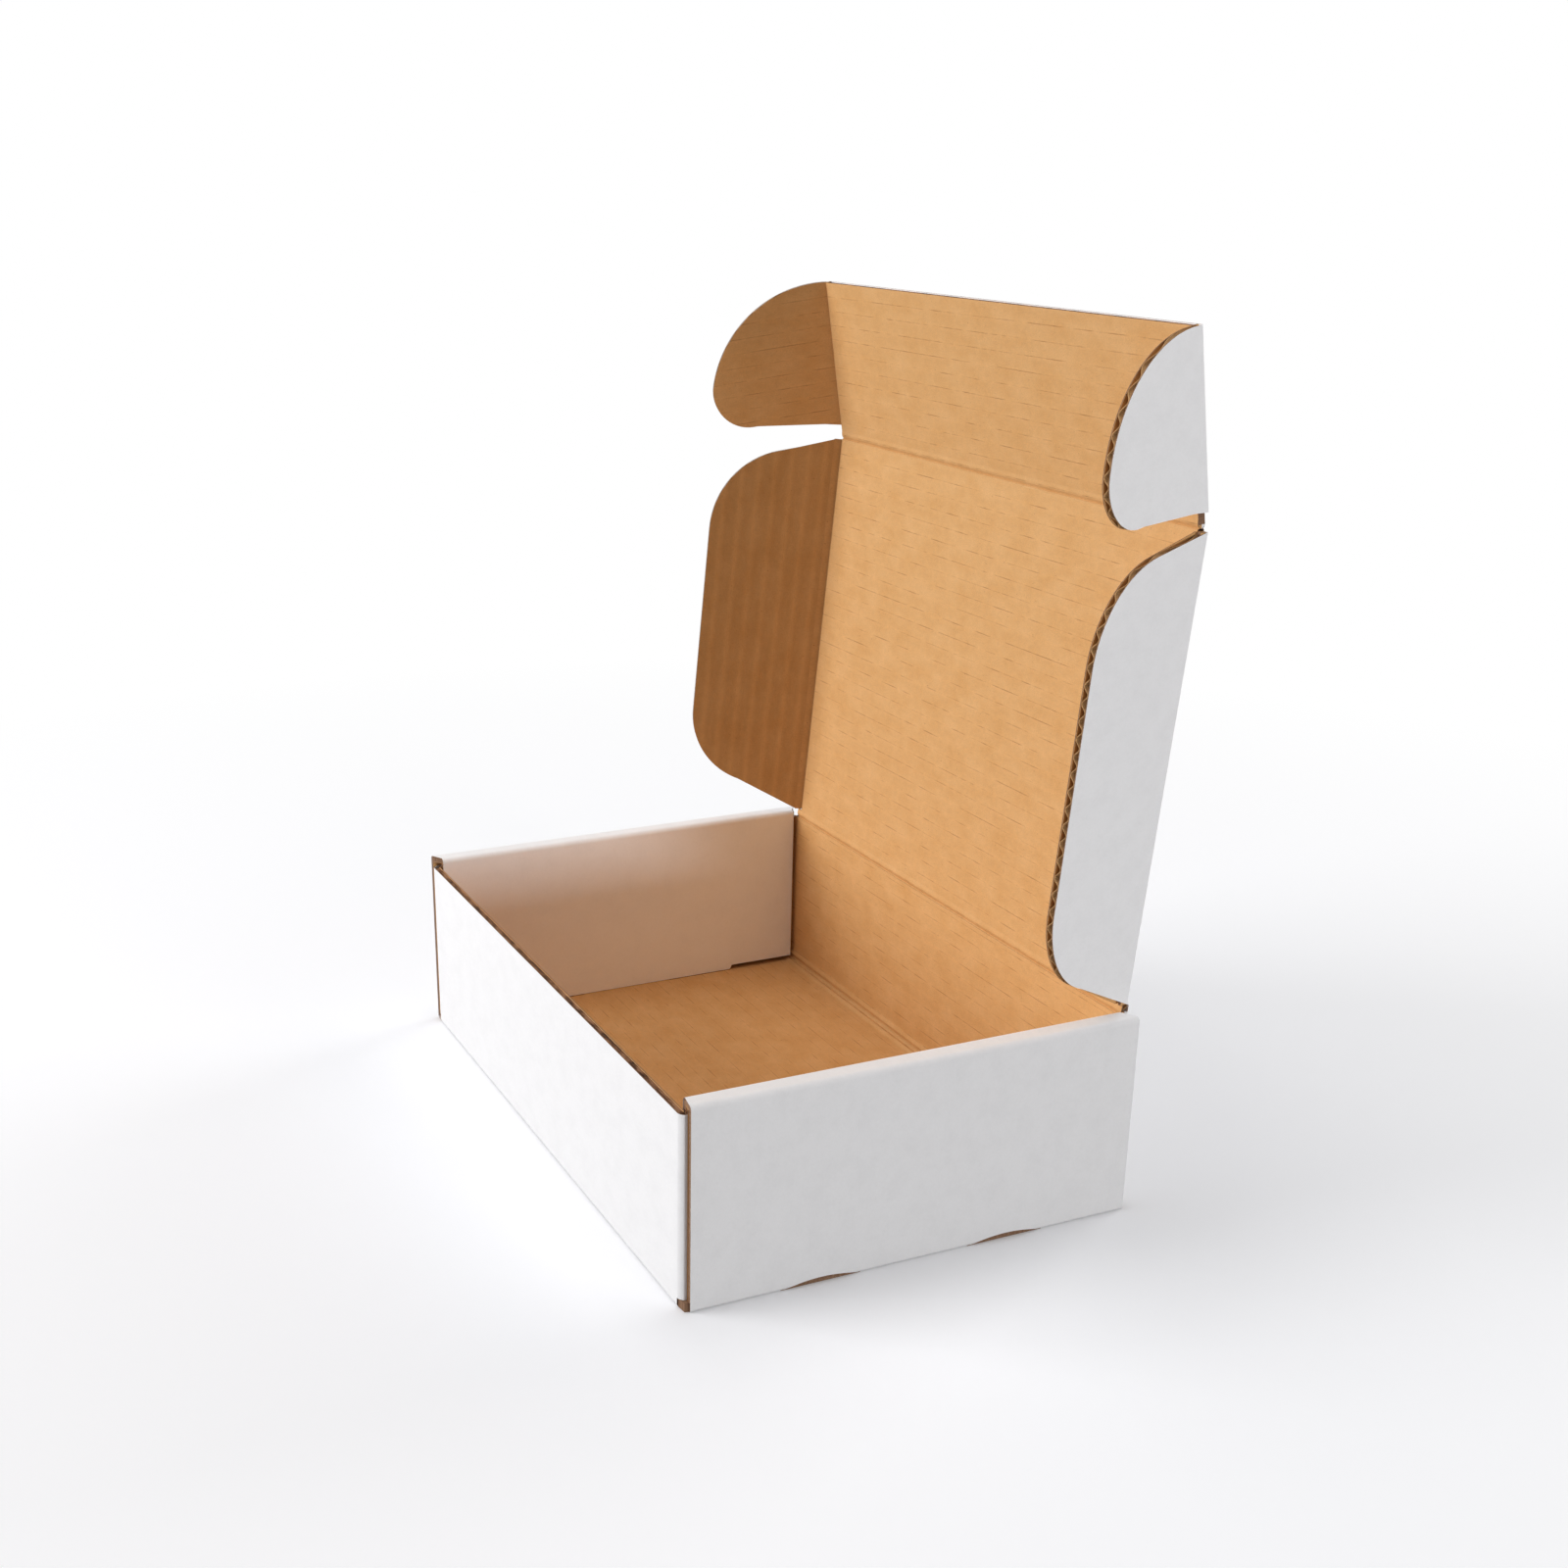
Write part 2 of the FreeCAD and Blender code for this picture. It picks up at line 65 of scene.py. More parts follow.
# Tray, as in the part. IN and OUT are distances from the middle of the box.
HALF, FRONT, BACK, HIGH = 140.0, -92.5, 92.5, 80.0
PLY_GAP = 0.2
FLAP_IN = HALF - 2 * BOARD - PLY_GAP
FLAP_OUT = FLAP_IN + BOARD
PANEL_IN = FLAP_IN - PLY_GAP - BOARD
PANEL_OUT = PANEL_IN + BOARD
PLY_IN = HALF - BOARD
FRONT_TOP = HIGH - 4.4
FOOT_R, RIM_R = 1.4, 2.0
SETBACK = {-1: 0.6, 1: 2.5}
REAR_END = BACK - 1.4
PANEL_FRONT = FRONT + BOARD + 0.6
PANEL_BACK = BACK - BOARD - 2.0
PANEL_FOOT = BOARD + PLY_GAP
# Behind the last tab, the inner ply's foot is cut away up to RELIEF_TOP, at a slant.
RELIEF, RELIEF_SLANT = 2.0, 1.2
RELIEF_TOP = PANEL_FOOT + RELIEF
FOOT_BEVEL, RIM_BEVEL = 0.8, 1.6
TAB_HALF, TAB_FOOT, SLOT_GAP = 16.0, 0.3, 0.3
TAB_AT = (-38.5, 38.5)
NOTCH_RISE = 2.2
NOTCH_R = NOTCH_RISE / 2 + (2 * TAB_HALF) ** 2 / (8 * NOTCH_RISE)
NOTCH_STEPS = 24
SKIRT_TOP = NOTCH_RISE + 0.4
FLAP_LONG, FLAP_FOOT = 62.0, BOARD + 1.0

# Lid, as in the part. Angles are the folds at rest.
SEAT = HALF_BOARD + 0.4
HINGE_Y, HINGE_Z = BACK - HALF_BOARD, HIGH - HALF_BOARD
BACK_TOP = HINGE_Z - SEAT
CREASE_X = PANEL_IN - 0.6 - HALF_BOARD
LID_HALF = CREASE_X + HALF_BOARD
PANEL_EDGE = CREASE_X - SEAT
PANEL_ROOT, ROOT_CUT = 3.0, 0.4
REACH = 2 * BACK - 2 * BOARD - 0.3
LID_TIP = REACH - SEAT
OPEN, TUCK, WING, EAR = 95.2, 14.3, 70.0, 70.0
TUCK_LONG = 67.0
WING_START, WING_END, EAR_START = PANEL_ROOT, REACH - 2.2, 4.6
# A wing folds past square when the lid shuts: its inner layers begin this far from the crease, and the
# board before them is crushed down to CRUSHED_TOP over its middle.
WING_CLEAR, CRUSHED_TOP = 3.6, 0.15

# Outlines from the crease: places along it, distances from it, and radii.
WING_WIDE, WING_HEEL, WING_SHOULDER, WING_NOSE = 57.0, (13.0, 33.0), 44.0, 14.5
WING_HOLLOW_R, WING_NOSE_R = 33.0, 38.0
EAR_ROOT, EAR_SIDE = (1.6, 8.0), (10.0, 38.0)
EAR_CROWN, EAR_CROWN_R, EAR_CORNER_R = (13.7, 57.5), 51.4, 16.0

# Fluting stands back from a flap's edges: along the flutes at the root and the tip, and across them.
FLUTE_ROOT, FLUTE_TIP, FLUTE_SIDE = 0.3, 0.12, 0.5
# Torn fluting lies behind a raw cut, between these two depths. A straight edge, a wall's rim and a tab
# have their own.
TORN_TOP, TORN_DEEP = 0.3, 0.9
EDGE_INSET, EDGE_DEPTH = 0.35, 0.6
RIM_DEEP = 0.95
TAB_INSET = 0.25

# Inner paper over a crease: (distance from it, height over the board's face). A slight bend shows the
# pressed groove, first on the carrier and then on the flap.
GROOVE = ((-SEAT - 0.6, 0.02), (-SEAT - 0.1, 0.0), (-1.4, -0.65), (-0.7, -0.12))
GROOVE_ON_FLAP = ((0, 0.2), (0.9, 0.22), (2.2, 0.02))
SLIGHT_BEND = 30
CREASE_LAP, CREASE_PAPER = 0.5, 0.2
# Crease paper stands this far off the board: on the inner face, over its edges, and on the outer face.
OFF_INNER, OFF_EDGE, OFF_OUTER = 0.02, 0.03, 0.01

# The bead pressed into an inside corner of the floor: (distance from the wall, height over the floor).
FLOOR_BEAD = (
    (0.0, 5.2), (0.2, 4.4), (0.9, 2.9), (0.25, 2.0), (0.3, 1.2),
    (1.2, 0.3), (2.0, 0.25), (2.9, 0.8), (4.4, 0.15), (5.2, 0.0),
)
WALL_BENDS_BELOW = 10

# Studio, in metres: each lamp is (name, place, size, watts).
FLOOR_SIZE = 12.0
LAMPS = (
    ("key", (-0.82, -2.2, 0.85), 1.5, 56.0),
    ("overhead", (-0.35, -0.1, 2.0), 1.4, 12.0),
    ("side_fill", (1.75, 0.35, 0.14), 0.24, 11.6),
    ("rear_fill", (-0.5, 2.3, 0.9), 1.2, 26.0),
)
LAMP_AIM = (0.0, 0.0, 0.12)

# The photograph's viewpoint, fitted to the box's corners, and the picture in pixels.
CAMERA_PLACE = (0.681, -0.3375, 0.3755)
AZIMUTH, ELEVATION = 66.21, 21.362
PICTURE, FOCAL_PIXELS, CENTRE_PIXELS = 1600, 2027.9, (680, 950)
SENSOR = 36.0


def turn(axis, degrees):
    return Matrix.Rotation(math.radians(degrees), 4, axis)


def shift(x=0.0, y=0.0, z=0.0):
    return Matrix.Translation((x, y, z))


LID = shift(0, HINGE_Y, HINGE_Z) @ turn("X", 180 - OPEN)
TUCK_FLAP = LID @ shift(0, REACH) @ turn("X", TUCK)


def side_frame(carrier, side, angle):
    """Frame of a wing on the lid, or of an ear on the tuck flap."""
    return carrier @ shift(side * CREASE_X) @ turn("Z", -side * 90) @ turn("X", angle)


def crease_span(side, start, end):
    """Both ends of a wing's or ear's crease in its own frame, lower first."""
    return sorted((-side * start, -side * end))


def link(obj):
    bpy.context.scene.collection.objects.link(obj)
    return obj


# ---------------------------------------------------------------- materials


MULTIPLY_COLOURS = {"data_type": "RGBA", "blend_type": "MULTIPLY", 0: 1.0}


def linear(hex_colour):
    """sRGB hex to a linear colour with alpha."""
    parts = [int(hex_colour[i : i + 2], 16) / 255 for i in (1, 3, 5)]
    return [c / 12.92 if c <= 0.04045 else ((c + 0.055) / 1.055) ** 2.4 for c in parts] + [1.0]


def add_node(tree, kind, settings=None, links=None):
    """A node with its settings (attributes, input values, a ramp's stops) and what feeds its inputs."""
    node = tree.nodes.new(kind)
    for name, value in (settings or {}).items():
        if name == "stops":
            elements = node.color_ramp.elements
            for position, _ in value[2:]:
                elements.new(position)
            for element, (position, colour) in zip(elements, value):
                element.position = position
                element.color = linear(colour) if isinstance(colour, str) else [colour] * 3 + [1.0]
        elif isinstance(name, str) and hasattr(node, name):
            setattr(node, name, value)
        else:
            node.inputs[name].default_value = value
    for name, source in (links or {}).items():
        socket = source if hasattr(source, "is_output") else source.outputs[0]
        tree.links.new(socket, node.inputs[name])
    return node


def new_material(name):
    material = bpy.data.materials.new(name)
    material.use_nodes = True
    material.node_tree.nodes.clear()
    return material, material.node_tree


def paper(name, patterns):
    """A new paper material with its noise patterns, each (mm along the flutes, mm across, detail)."""
    material, tree = new_material(name)
    layout = add_node(tree, "ShaderNodeUVMap", {"uv_map": "flat"})
    grains = []
    for along, across, detail in patterns:
        scale = (PITCH / along, PITCH / across, 1)
        place = add_node(tree, "ShaderNodeMapping", {"Scale": scale}, {"Vector": layout})
        settings = {"Scale": 1.0, "Detail": detail, "Roughness": 0.65}
        grains.append(add_node(tree, "ShaderNodeTexNoise", settings, {"Vector": place}))
    return material, tree, layout, grains


def washboard(tree, layout, pitch):
    """Height of the paper over the flutes: 1 on a crest, 0 between two."""
    place = add_node(tree, "ShaderNodeSeparateXYZ", {}, {0: layout})
    per_flute = {"operation": "MULTIPLY", 1: math.tau * PITCH / pitch}
    turns = add_node(tree, "ShaderNodeMath", per_flute, {0: place.outputs["Y"]})
    wave = add_node(tree, "ShaderNodeMath", {"operation": "COSINE"}, {0: turns})
    return add_node(tree, "ShaderNodeMath", {"operation": "MULTIPLY_ADD", 1: 0.5, 2: 0.5}, {0: wave})


def finish_paper(tree, colour, roughness, reliefs):
    """A matt sheet with a little gloss from its sizing; each relief is (height, strength, mm)."""
    links = {"Base Color": colour, "Roughness": roughness}
    for height, strength, distance in reliefs:
        below = {"Normal": links["Normal"]} if "Normal" in links else {}
        settings = {"Strength": strength, "Distance": distance * MM}
        links["Normal"] = add_node(tree, "ShaderNodeBump", settings, {"Height": height, **below})
    gloss = {"IOR": 1.45, "Specular IOR Level": 0.25}
    shader = add_node(tree, "ShaderNodeBsdfPrincipled", gloss, links)
    add_node(tree, "ShaderNodeOutputMaterial", {}, {"Surface": shader})


def kraft_liner(name, tones, bands, pitch, line_strength, relief):
    """Unbleached kraft liner, machine made and starch-glued over the flutes: a warm brown fibre mottle
    and broken darker lines where the paper lies on a crest. The bands are painted shade and highlight
    over the flutes telegraphing through, plainer where the light only grazes the face."""
    patterns = [(16.0, 11.0, 3.0), (2.6, 2.0, 3.0), (0.7, 0.5, 3.0), (11.0, 2.2, 4.0), (0.9, 0.8, 1.0)]
    material, tree, layout, (clouds, mottle, fibres, breaks, bits) = paper(name, patterns)
    stops = [(0.3, tones[0]), (0.7, tones[1])]
    base = add_node(tree, "ShaderNodeValToRGB", {"stops": stops}, {0: clouds})
    for grain, low, high in ((mottle, 0.955, 1.03), (fibres, 0.9, 1.06)):
        shade = add_node(tree, "ShaderNodeValToRGB", {"stops": [(0.3, low), (0.7, high)]}, {0: grain})
        base = add_node(tree, "ShaderNodeMix", MULTIPLY_COLOURS, {6: base, 7: shade}).outputs[2]
    wave = washboard(tree, layout, pitch)
    # Painted shade between the crests and painted highlight on them.
    stops = [(0.4, 1.0 - bands), (0.85, 1.0), (0.99, 1.0 + bands)]
    shade = add_node(tree, "ShaderNodeValToRGB", {"stops": stops}, {0: wave})
    base = add_node(tree, "ShaderNodeMix", MULTIPLY_COLOURS, {6: base, 7: shade}).outputs[2]
    stops = [(0.982, 0.0), (0.999, line_strength)]
    crest = add_node(tree, "ShaderNodeValToRGB", {"stops": stops}, {0: wave})
    stops = [(0.43, 0.0), (0.64, 1.0)]
    broken = add_node(tree, "ShaderNodeValToRGB", {"stops": stops}, {0: breaks})
    line = add_node(tree, "ShaderNodeMath", {"operation": "MULTIPLY"}, {0: crest, 1: broken})
    darker = {"data_type": "RGBA", 7: linear("#7E4E22")}
    base = add_node(tree, "ShaderNodeMix", darker, {0: line, 6: base}).outputs[2]
    specks = add_node(tree, "ShaderNodeValToRGB", {"stops": [(0.22, 0.7), (0.26, 0.0)]}, {0: bits})
    base = add_node(tree, "ShaderNodeMix", darker, {0: specks, 6: base}).outputs[2]
    rough = add_node(tree, "ShaderNodeValToRGB", {"stops": [(0.3, 0.62), (0.7, 0.74)]}, {0: mottle})
    finish_paper(tree, base, rough, [(wave, 0.6, relief), (fibres, 0.35, 0.05)])
    return material


def white_liner():
    """White-top liner, a thin bleached layer on brown paper: a cool white with a faint grey cloudiness
    where the brown shows through, a fine tooth, and a very faint washboard."""
    patterns = [(11.0, 9.0, 4.0), (1.6, 1.3, 3.0), (0.7, 0.5, 2.0)]
    material, tree, layout, (clouds, mottle, fibres) = paper("white_top_liner", patterns)
    stops = [(0.32, "#F6F5F6"), (0.6, "#FAF9FA")]
    base = add_node(tree, "ShaderNodeValToRGB", {"stops": stops}, {0: clouds})
    for grain in (mottle, fibres):
        shade = add_node(tree, "ShaderNodeValToRGB", {"stops": [(0.3, 0.98), (0.7, 1.01)]}, {0: grain})
        base = add_node(tree, "ShaderNodeMix", MULTIPLY_COLOURS, {6: base, 7: shade}).outputs[2]
    rough = add_node(tree, "ShaderNodeValToRGB", {"stops": [(0.3, 0.5), (0.7, 0.62)]}, {0: mottle})
    wave = washboard(tree, layout, PITCH)
    finish_paper(tree, base, rough, [(wave, 0.3, 0.02), (mottle, 0.15, 0.03)])
    return material


def raw_paper(name, pattern, stops, relief):
    """Brown paper cut raw: bare fibre with no white layer and no sizing, so it is rough and dull."""
    material, tree, _, (grain,) = paper(name, [pattern])
    base = add_node(tree, "ShaderNodeValToRGB", {"stops": stops}, {0: grain})
    rough = add_node(tree, "ShaderNodeValToRGB", {"stops": [(0.3, 0.82), (0.7, 0.9)]}, {0: grain})
    finish_paper(tree, base, rough, [(grain, 0.5, relief)])
    return material


KRAFT = kraft_liner("kraft_liner", ("#D4A166", "#DDAD75"), 0.015, PITCH, 0.55, 0.06)
# The left wing, seen along its face: its bands are as wide as they look there. Its tones are darker than
# the other liner's: painted shade on the wing's inner face.
KRAFT_PAINTED_SHADE = kraft_liner("kraft_liner_painted_shade", ("#C08F58", "#CA9B66"), 0.06, 7.4, 0.1, 0.05)
WHITE = white_liner()
# Semi-chemical fluting, the roughest paper in the board: its cut ends catch the light.
FLUTING = raw_paper("fluting_paper", (8.0, 2.0, 3.0), [(0.3, "#A97E50"), (0.7, "#D2A775")], 0.1)
# The cut through a liner: brown fibre, also under the white top layer.
CUT = raw_paper("cut_liner", (1.0, 1.0, 3.0), [(0.3, "#74543F"), (0.7, "#9D7D64")], 0.08)
# A raw cut along the flutes: torn fluting between the two liners, brown fibre with painted shade for its
# long dark openings.
TORN_TONES_AND_SHADE = [(0.4, "#382418"), (0.49, "#6E4B33"), (0.62, "#9E7658")]
CRUSHED = raw_paper("crushed_fluting_edge", (9.0, 2.4, 3.0), TORN_TONES_AND_SHADE, 0.3)


# ---------------------------------------------------------------- sheets


def ring_faces(n, rings=2):
    """Faces of a closed skin over rings of n points each: both end caps, then the sides."""
    faces = [list(range(n))[::-1], list(range((rings - 1) * n, rings * n))]
    for first in range(0, (rings - 1) * n, n):
        for i in range(n):
            j = (i + 1) % n
            faces.append([first + i, first + j, first + n + j, first + n + i])
    return faces


def face_outwards(mesh):
    work = bmesh.new()
    work.from_mesh(mesh)
    bmesh.ops.recalc_face_normals(work, faces=work.faces)
    work.to_mesh(mesh)
    work.free()


class Sheet:
    """Faces of one paper layer, with each corner's place in the flat layout (along, across flutes)."""

    def __init__(self):
        self.points, self.layout, self.faces, self.cuts = [], [], [], []

    def add(self, points, layout, faces, placement=Matrix(), cuts=()):
        """Faces over new points; cuts holds the numbers of the faces that are cut edges."""
        first = len(self.points)
        self.cuts += [len(self.faces) + i for i in cuts]
        self.points += [tuple(placement @ Vector(p)) for p in points]
        self.layout += [tuple(p) for p in layout]
        self.faces += [[first + i for i in face] for face in faces]

    def prism(self, outline, low, high, placement=Matrix(), flutes="x"):
        """A flat layer between two heights, cut to an outline."""
        n = len(outline)
        points = [(x, y, z) for z in (low, high) for x, y in outline]
        layout = [((x, y) if flutes == "x" else (y, x)) for x, y in outline] * 2
        self.add(points, layout, ring_faces(n), placement, range(2, n + 2))

    def strip(self, rings, layout):
        """A closed skin over rings of the same number of points."""
        points = [p for ring in rings for p in ring]
        self.add(points, layout, ring_faces(len(rings[0]), len(rings)))

    def swept(self, outer, inner, spans, place, layout):
        """A bent layer: outer and inner line side by side, each point with its own (start, end)."""
        n = len(outer)
        points, flat, faces, cuts = [], [], [], []
        for line in (outer, inner):
            for i, (a, b) in enumerate(line):
                for end in spans[i]:
                    points.append(place(a, b, end))
                    flat.append(layout(i, end))

        def at(line, i, end):
            return (line * n + i) * 2 + end

        for i, j in zip(range(n - 1), range(1, n)):
            faces.append([at(0, i, 0), at(0, j, 0), at(0, j, 1), at(0, i, 1)])
            faces.append([at(1, i, 0), at(1, i, 1), at(1, j, 1), at(1, j, 0)])
            cuts += [len(faces), len(faces) + 1]
            faces.append([at(0, i, 0), at(1, i, 0), at(1, j, 0), at(0, j, 0)])
            faces.append([at(0, i, 1), at(0, j, 1), at(1, j, 1), at(1, i, 1)])
        for i in (0, n - 1):
            cuts.append(len(faces))
            faces.append([at(0, i, 0), at(0, i, 1), at(1, i, 1), at(1, i, 0)])
        self.add(points, flat, faces, cuts=cuts)

    def make(self, name, material):
        mesh = bpy.data.meshes.new(name)
        mesh.from_pydata([[c * MM for c in p] for p in self.points], [], self.faces)
        flat = mesh.uv_layers.new(name="flat")
        for loop in mesh.loops:
            along, across = self.layout[loop.vertex_index]
            flat.data[loop.index].uv = (along / PITCH, across / PITCH)
        face_outwards(mesh)
        mesh.materials.append(material)
        if self.cuts:
            mesh.materials.append(CUT)
            for i in self.cuts:
                mesh.polygons[i].material_index = 1
        return link(bpy.data.objects.new(name, mesh))


def dress(obj, body, node):
    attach(obj, body)
    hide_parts(node)


def arc(centre, radius, start, end, steps=6):
    angles = [math.radians(start + (end - start) * i / steps) for i in range(steps + 1)]
    return [(centre[0] + radius * math.cos(a), centre[1] + radius * math.sin(a)) for a in angles]


def shorter_arc(centre, start, end, radius, steps):
    """The shorter way round a centre from one point to another."""
    first, last = (math.atan2(p[1] - centre[1], p[0] - centre[0]) for p in (start, end))
    sweep = (last - first + math.pi) % math.tau - math.pi
    angles = [first + sweep * i / steps for i in range(steps + 1)]
    return [tuple(centre + radius * np.array([math.cos(a), math.sin(a)])) for a in angles]


def bow_centre(a, b, radius):
    """Centre of an arc from a to b that bows to the left of that direction."""
    chord = b - a
    length = np.hypot(*chord)
    normal = np.array([-chord[1], chord[0]]) / length
    return (a + b) / 2 - normal * math.sqrt(radius**2 - length**2 / 4)


def bowed(a, b, radius, steps=24):
    """An arc from a to b, bowed to the left of that direction, without its first point."""
    a, b = np.array(a, float), np.array(b, float)
    return shorter_arc(bow_centre(a, b, radius), a, b, radius, steps)[1:]


def rounded(before, corner, after, radius, steps=16):
    """The round that replaces a corner."""
    p, a, b = (np.array(v, float) for v in (corner, before, after))
    u, v = (a - p) / np.hypot(*(a - p)), (b - p) / np.hypot(*(b - p))
    half = math.acos(float(np.clip(u @ v, -1, 1))) / 2
    reach = radius / math.tan(half)
    centre = p + (u + v) / np.hypot(*(u + v)) * (radius / math.sin(half))
    return shorter_arc(centre, p + u * reach, p + v * reach, radius, steps)


# ---------------------------------------------------------------- fluting


def fluting_tree():
    """One sheet of fluting: a wave along X, straight along Y, with the paper's own thickness."""
    tree = bpy.data.node_groups.new("fluting", "GeometryNodeTree")
    sockets = tree.interface
    sockets.new_socket("Geometry", in_out="OUTPUT", socket_type="NodeSocketGeometry")
    for name in ("Length", "Start", "Pitch", "Height", "Paper"):
        sockets.new_socket(name, in_out="INPUT", socket_type="NodeSocketFloat")
    sockets.new_socket("Steps", in_out="INPUT", socket_type="NodeSocketInt")
    sockets.new_socket("Material", in_out="INPUT", socket_type="NodeSocketMaterial")
    given = add_node(tree, "NodeGroupInput").outputs
    size = {"Size X": given["Length"], "Vertices X": given["Steps"]}
    grid = add_node(tree, "GeometryNodeMeshGrid", {"Size Y": 1.0, "Vertices Y": 2}, size)
    place = add_node(tree, "GeometryNodeInputPosition")
    parts = add_node(tree, "ShaderNodeSeparateXYZ", {}, {0: place}).outputs
    half = add_node(tree, "ShaderNodeMath", {"operation": "MULTIPLY", 1: 0.5}, {0: given["Length"]})
    begun = add_node(tree, "ShaderNodeMath", {"operation": "ADD"}, {0: half, 1: given["Start"]})
    across = add_node(tree, "ShaderNodeMath", {"operation": "ADD"}, {0: parts["X"], 1: begun})
    pitches = add_node(tree, "ShaderNodeMath", {"operation": "DIVIDE"}, {0: across, 1: given["Pitch"]})
    turns = add_node(tree, "ShaderNodeMath", {"operation": "MULTIPLY", 1: math.tau}, {0: pitches})
    wave = add_node(tree, "ShaderNodeMath", {"operation": "COSINE"}, {0: turns})
    rise = add_node(tree, "ShaderNodeMath", {"operation": "MULTIPLY"}, {0: wave, 1: given["Height"]})
    width = add_node(tree, "ShaderNodeMath", {"operation": "ADD", 1: 0.5}, {0: parts["Y"]})
    moved = add_node(tree, "ShaderNodeCombineXYZ", {}, {"X": across, "Y": width, "Z": rise})
    both = {"Geometry": grid.outputs["Mesh"], "Position": moved}
    waved = add_node(tree, "GeometryNodeSetPosition", {}, both)
    solid, both = {"mode": "FACES", "Individual": False}, {"Mesh": waved, "Offset Scale": given["Paper"]}
    thick = add_node(tree, "GeometryNodeExtrudeMesh", solid, both)
    flipped = add_node(tree, "GeometryNodeFlipFaces", {}, {"Mesh": waved})
    joined = add_node(tree, "GeometryNodeJoinGeometry")
    for mesh in (thick.outputs["Mesh"], flipped.outputs[0]):
        tree.links.new(mesh, joined.inputs[0])
    merged = add_node(tree, "GeometryNodeMergeByDistance", {"Distance": 0.001}, {0: joined})
    real = add_node(tree, "GeometryNodeRealizeInstances", {}, {0: merged})
    both = {"Geometry": real, "Material": given["Material"]}
    painted = add_node(tree, "GeometryNodeSetMaterial", {}, both)
    add_node(tree, "NodeGroupOutput", {}, {0: painted})
    return tree


FLUTES = fluting_tree()


def fluting(name, start, end, wrap, body, node):
    """Fluting from start to end across the flutes; wrap(across, share, rise) places each point."""
    obj = link(bpy.data.objects.new(name, bpy.data.meshes.new(name)))
    modifier = obj.modifiers.new("fluting", "NODES")
    modifier.node_group = FLUTES
    values = {
        "Length": end - start,
        "Start": start,
        "Pitch": PITCH,
        "Height": HALF_BOARD - LINER - FLUTE_PAPER / 2,
        "Paper": FLUTE_PAPER,
        "Steps": int(STEPS_PER_FLUTE * (end - start) / PITCH) + 2,
        "Material": FLUTING,
    }
    for item in FLUTES.interface.items_tree:
        if item.in_out == "INPUT":
            modifier[item.identifier] = values[item.name]
    evaluated = obj.evaluated_get(bpy.context.evaluated_depsgraph_get())
    mesh = bpy.data.meshes.new_from_object(evaluated)
    obj.modifiers.clear()
    obj.data = mesh
    layout = []
    for vertex in mesh.vertices:
        across, share, rise = vertex.co
        point, along = wrap(across, share, rise - FLUTE_PAPER / 2)
        vertex.co = Vector(point) * MM
        layout.append((along / PITCH, across / PITCH))
    flat = mesh.uv_layers.new(name="flat")
    for loop in mesh.loops:
        flat.data[loop.index].uv = layout[loop.vertex_index]
    face_outwards(mesh)
    dress(obj, body, node)


def reach_of(outline, axis):
    """How far an outline reaches along one axis, for each place on the other: place -> (low, high)."""
    points = np.array(outline, float)
    other = 1 - axis

    def span(place):
        found = []
        for p, q in zip(points, np.roll(points, -1, axis=0)):
            low, high = sorted((p[other], q[other]))
            if low - 1e-9 <= place <= high + 1e-9:
                if high - low < 1e-9:
                    found += [p[axis], q[axis]]
                else:
                    t = (place - p[other]) / (q[other] - p[other])
                    found.append(p[axis] + t * (q[axis] - p[axis]))
        return (min(found), max(found)) if found else (0.0, 0.0)

    return span


# ---------------------------------------------------------------- flaps


def wing_outline(side):
    """From the rear root: the hollow heel, the shoulder, the round nose and the front root."""
    start, end = WING_START, WING_END
    heel = (start + WING_HEEL[0], WING_HEEL[1])
    shoulder, nose = (start + WING_SHOULDER, WING_WIDE), (end - WING_NOSE, WING_WIDE)
    points = [(start, 0.0), heel] + bowed(heel, shoulder, WING_HOLLOW_R)
    points += rounded(shoulder, nose, (end, 0.0), WING_NOSE_R)
    points.append((end, 0.0))
    return [(-side * x, y) for x, y in points]


def ear_outline(side):
    """From the root at the lid: a straight side, its rounded corner, and one long crown to the tip."""
    tip, radius = (TUCK_LONG, 0.0), EAR_CORNER_R
    points = [(EAR_START, 0.0), (EAR_START + EAR_ROOT[0], EAR_ROOT[1]), EAR_SIDE]
    crown = bowed(EAR_CROWN, tip, EAR_CROWN_R, 40)
    # The corner's round touches the straight side and the crown.
    bow = bow_centre(np.array(EAR_CROWN), np.array(tip), EAR_CROWN_R)
    x = EAR_SIDE[0] + radius
    y = bow[1] + math.sqrt((EAR_CROWN_R - radius) ** 2 - (x - bow[0]) ** 2)
    touch = math.degrees(math.atan2(y - bow[1], x - bow[0]))
    points += arc((x, y), radius, 180, touch, 16)
    points += [p for p in crown if p[0] > points[-1][0] + 0.2]
    return [(-side * x, y) for x, y in points]


def bead(white, kraft, x0, x1, placement):
    """The rounded edge on a crease: white outside, unbleached inside."""
    for sheet, end in ((white, 270), (kraft, 90)):
        ring = arc((0, 0), HALF_BOARD, 180, end) + [(0.0, 0.0)]
        points = [(x, y, z) for x in (x0, x1) for y, z in ring]
        sheet.add(points, [(p[0], 0.0) for p in points], ring_faces(len(ring)), placement)


def edge_fill(sheet, a, b, placement):
    """Crushed fluting between the liners along a straight cut from a to b, set in a little."""
    a, b = np.array(a, float), np.array(b, float)
    length = np.hypot(*(b - a))
    along = (b - a) / length
    inward = np.array([-along[1], along[0]])
    rim, back = a + inward * EDGE_INSET, a + inward * (EDGE_INSET + EDGE_DEPTH)
    corners = [rim, rim + along * length, back + along * length, back]
    heights = (LINER - HALF_BOARD, HALF_BOARD - LINER)
    points = [(x, y, z) for z in heights for x, y in corners]
    flat = [(t, z) for z in heights for t in (0, length, length, 0)]
    sheet.add(points, flat, ring_faces(4), placement)


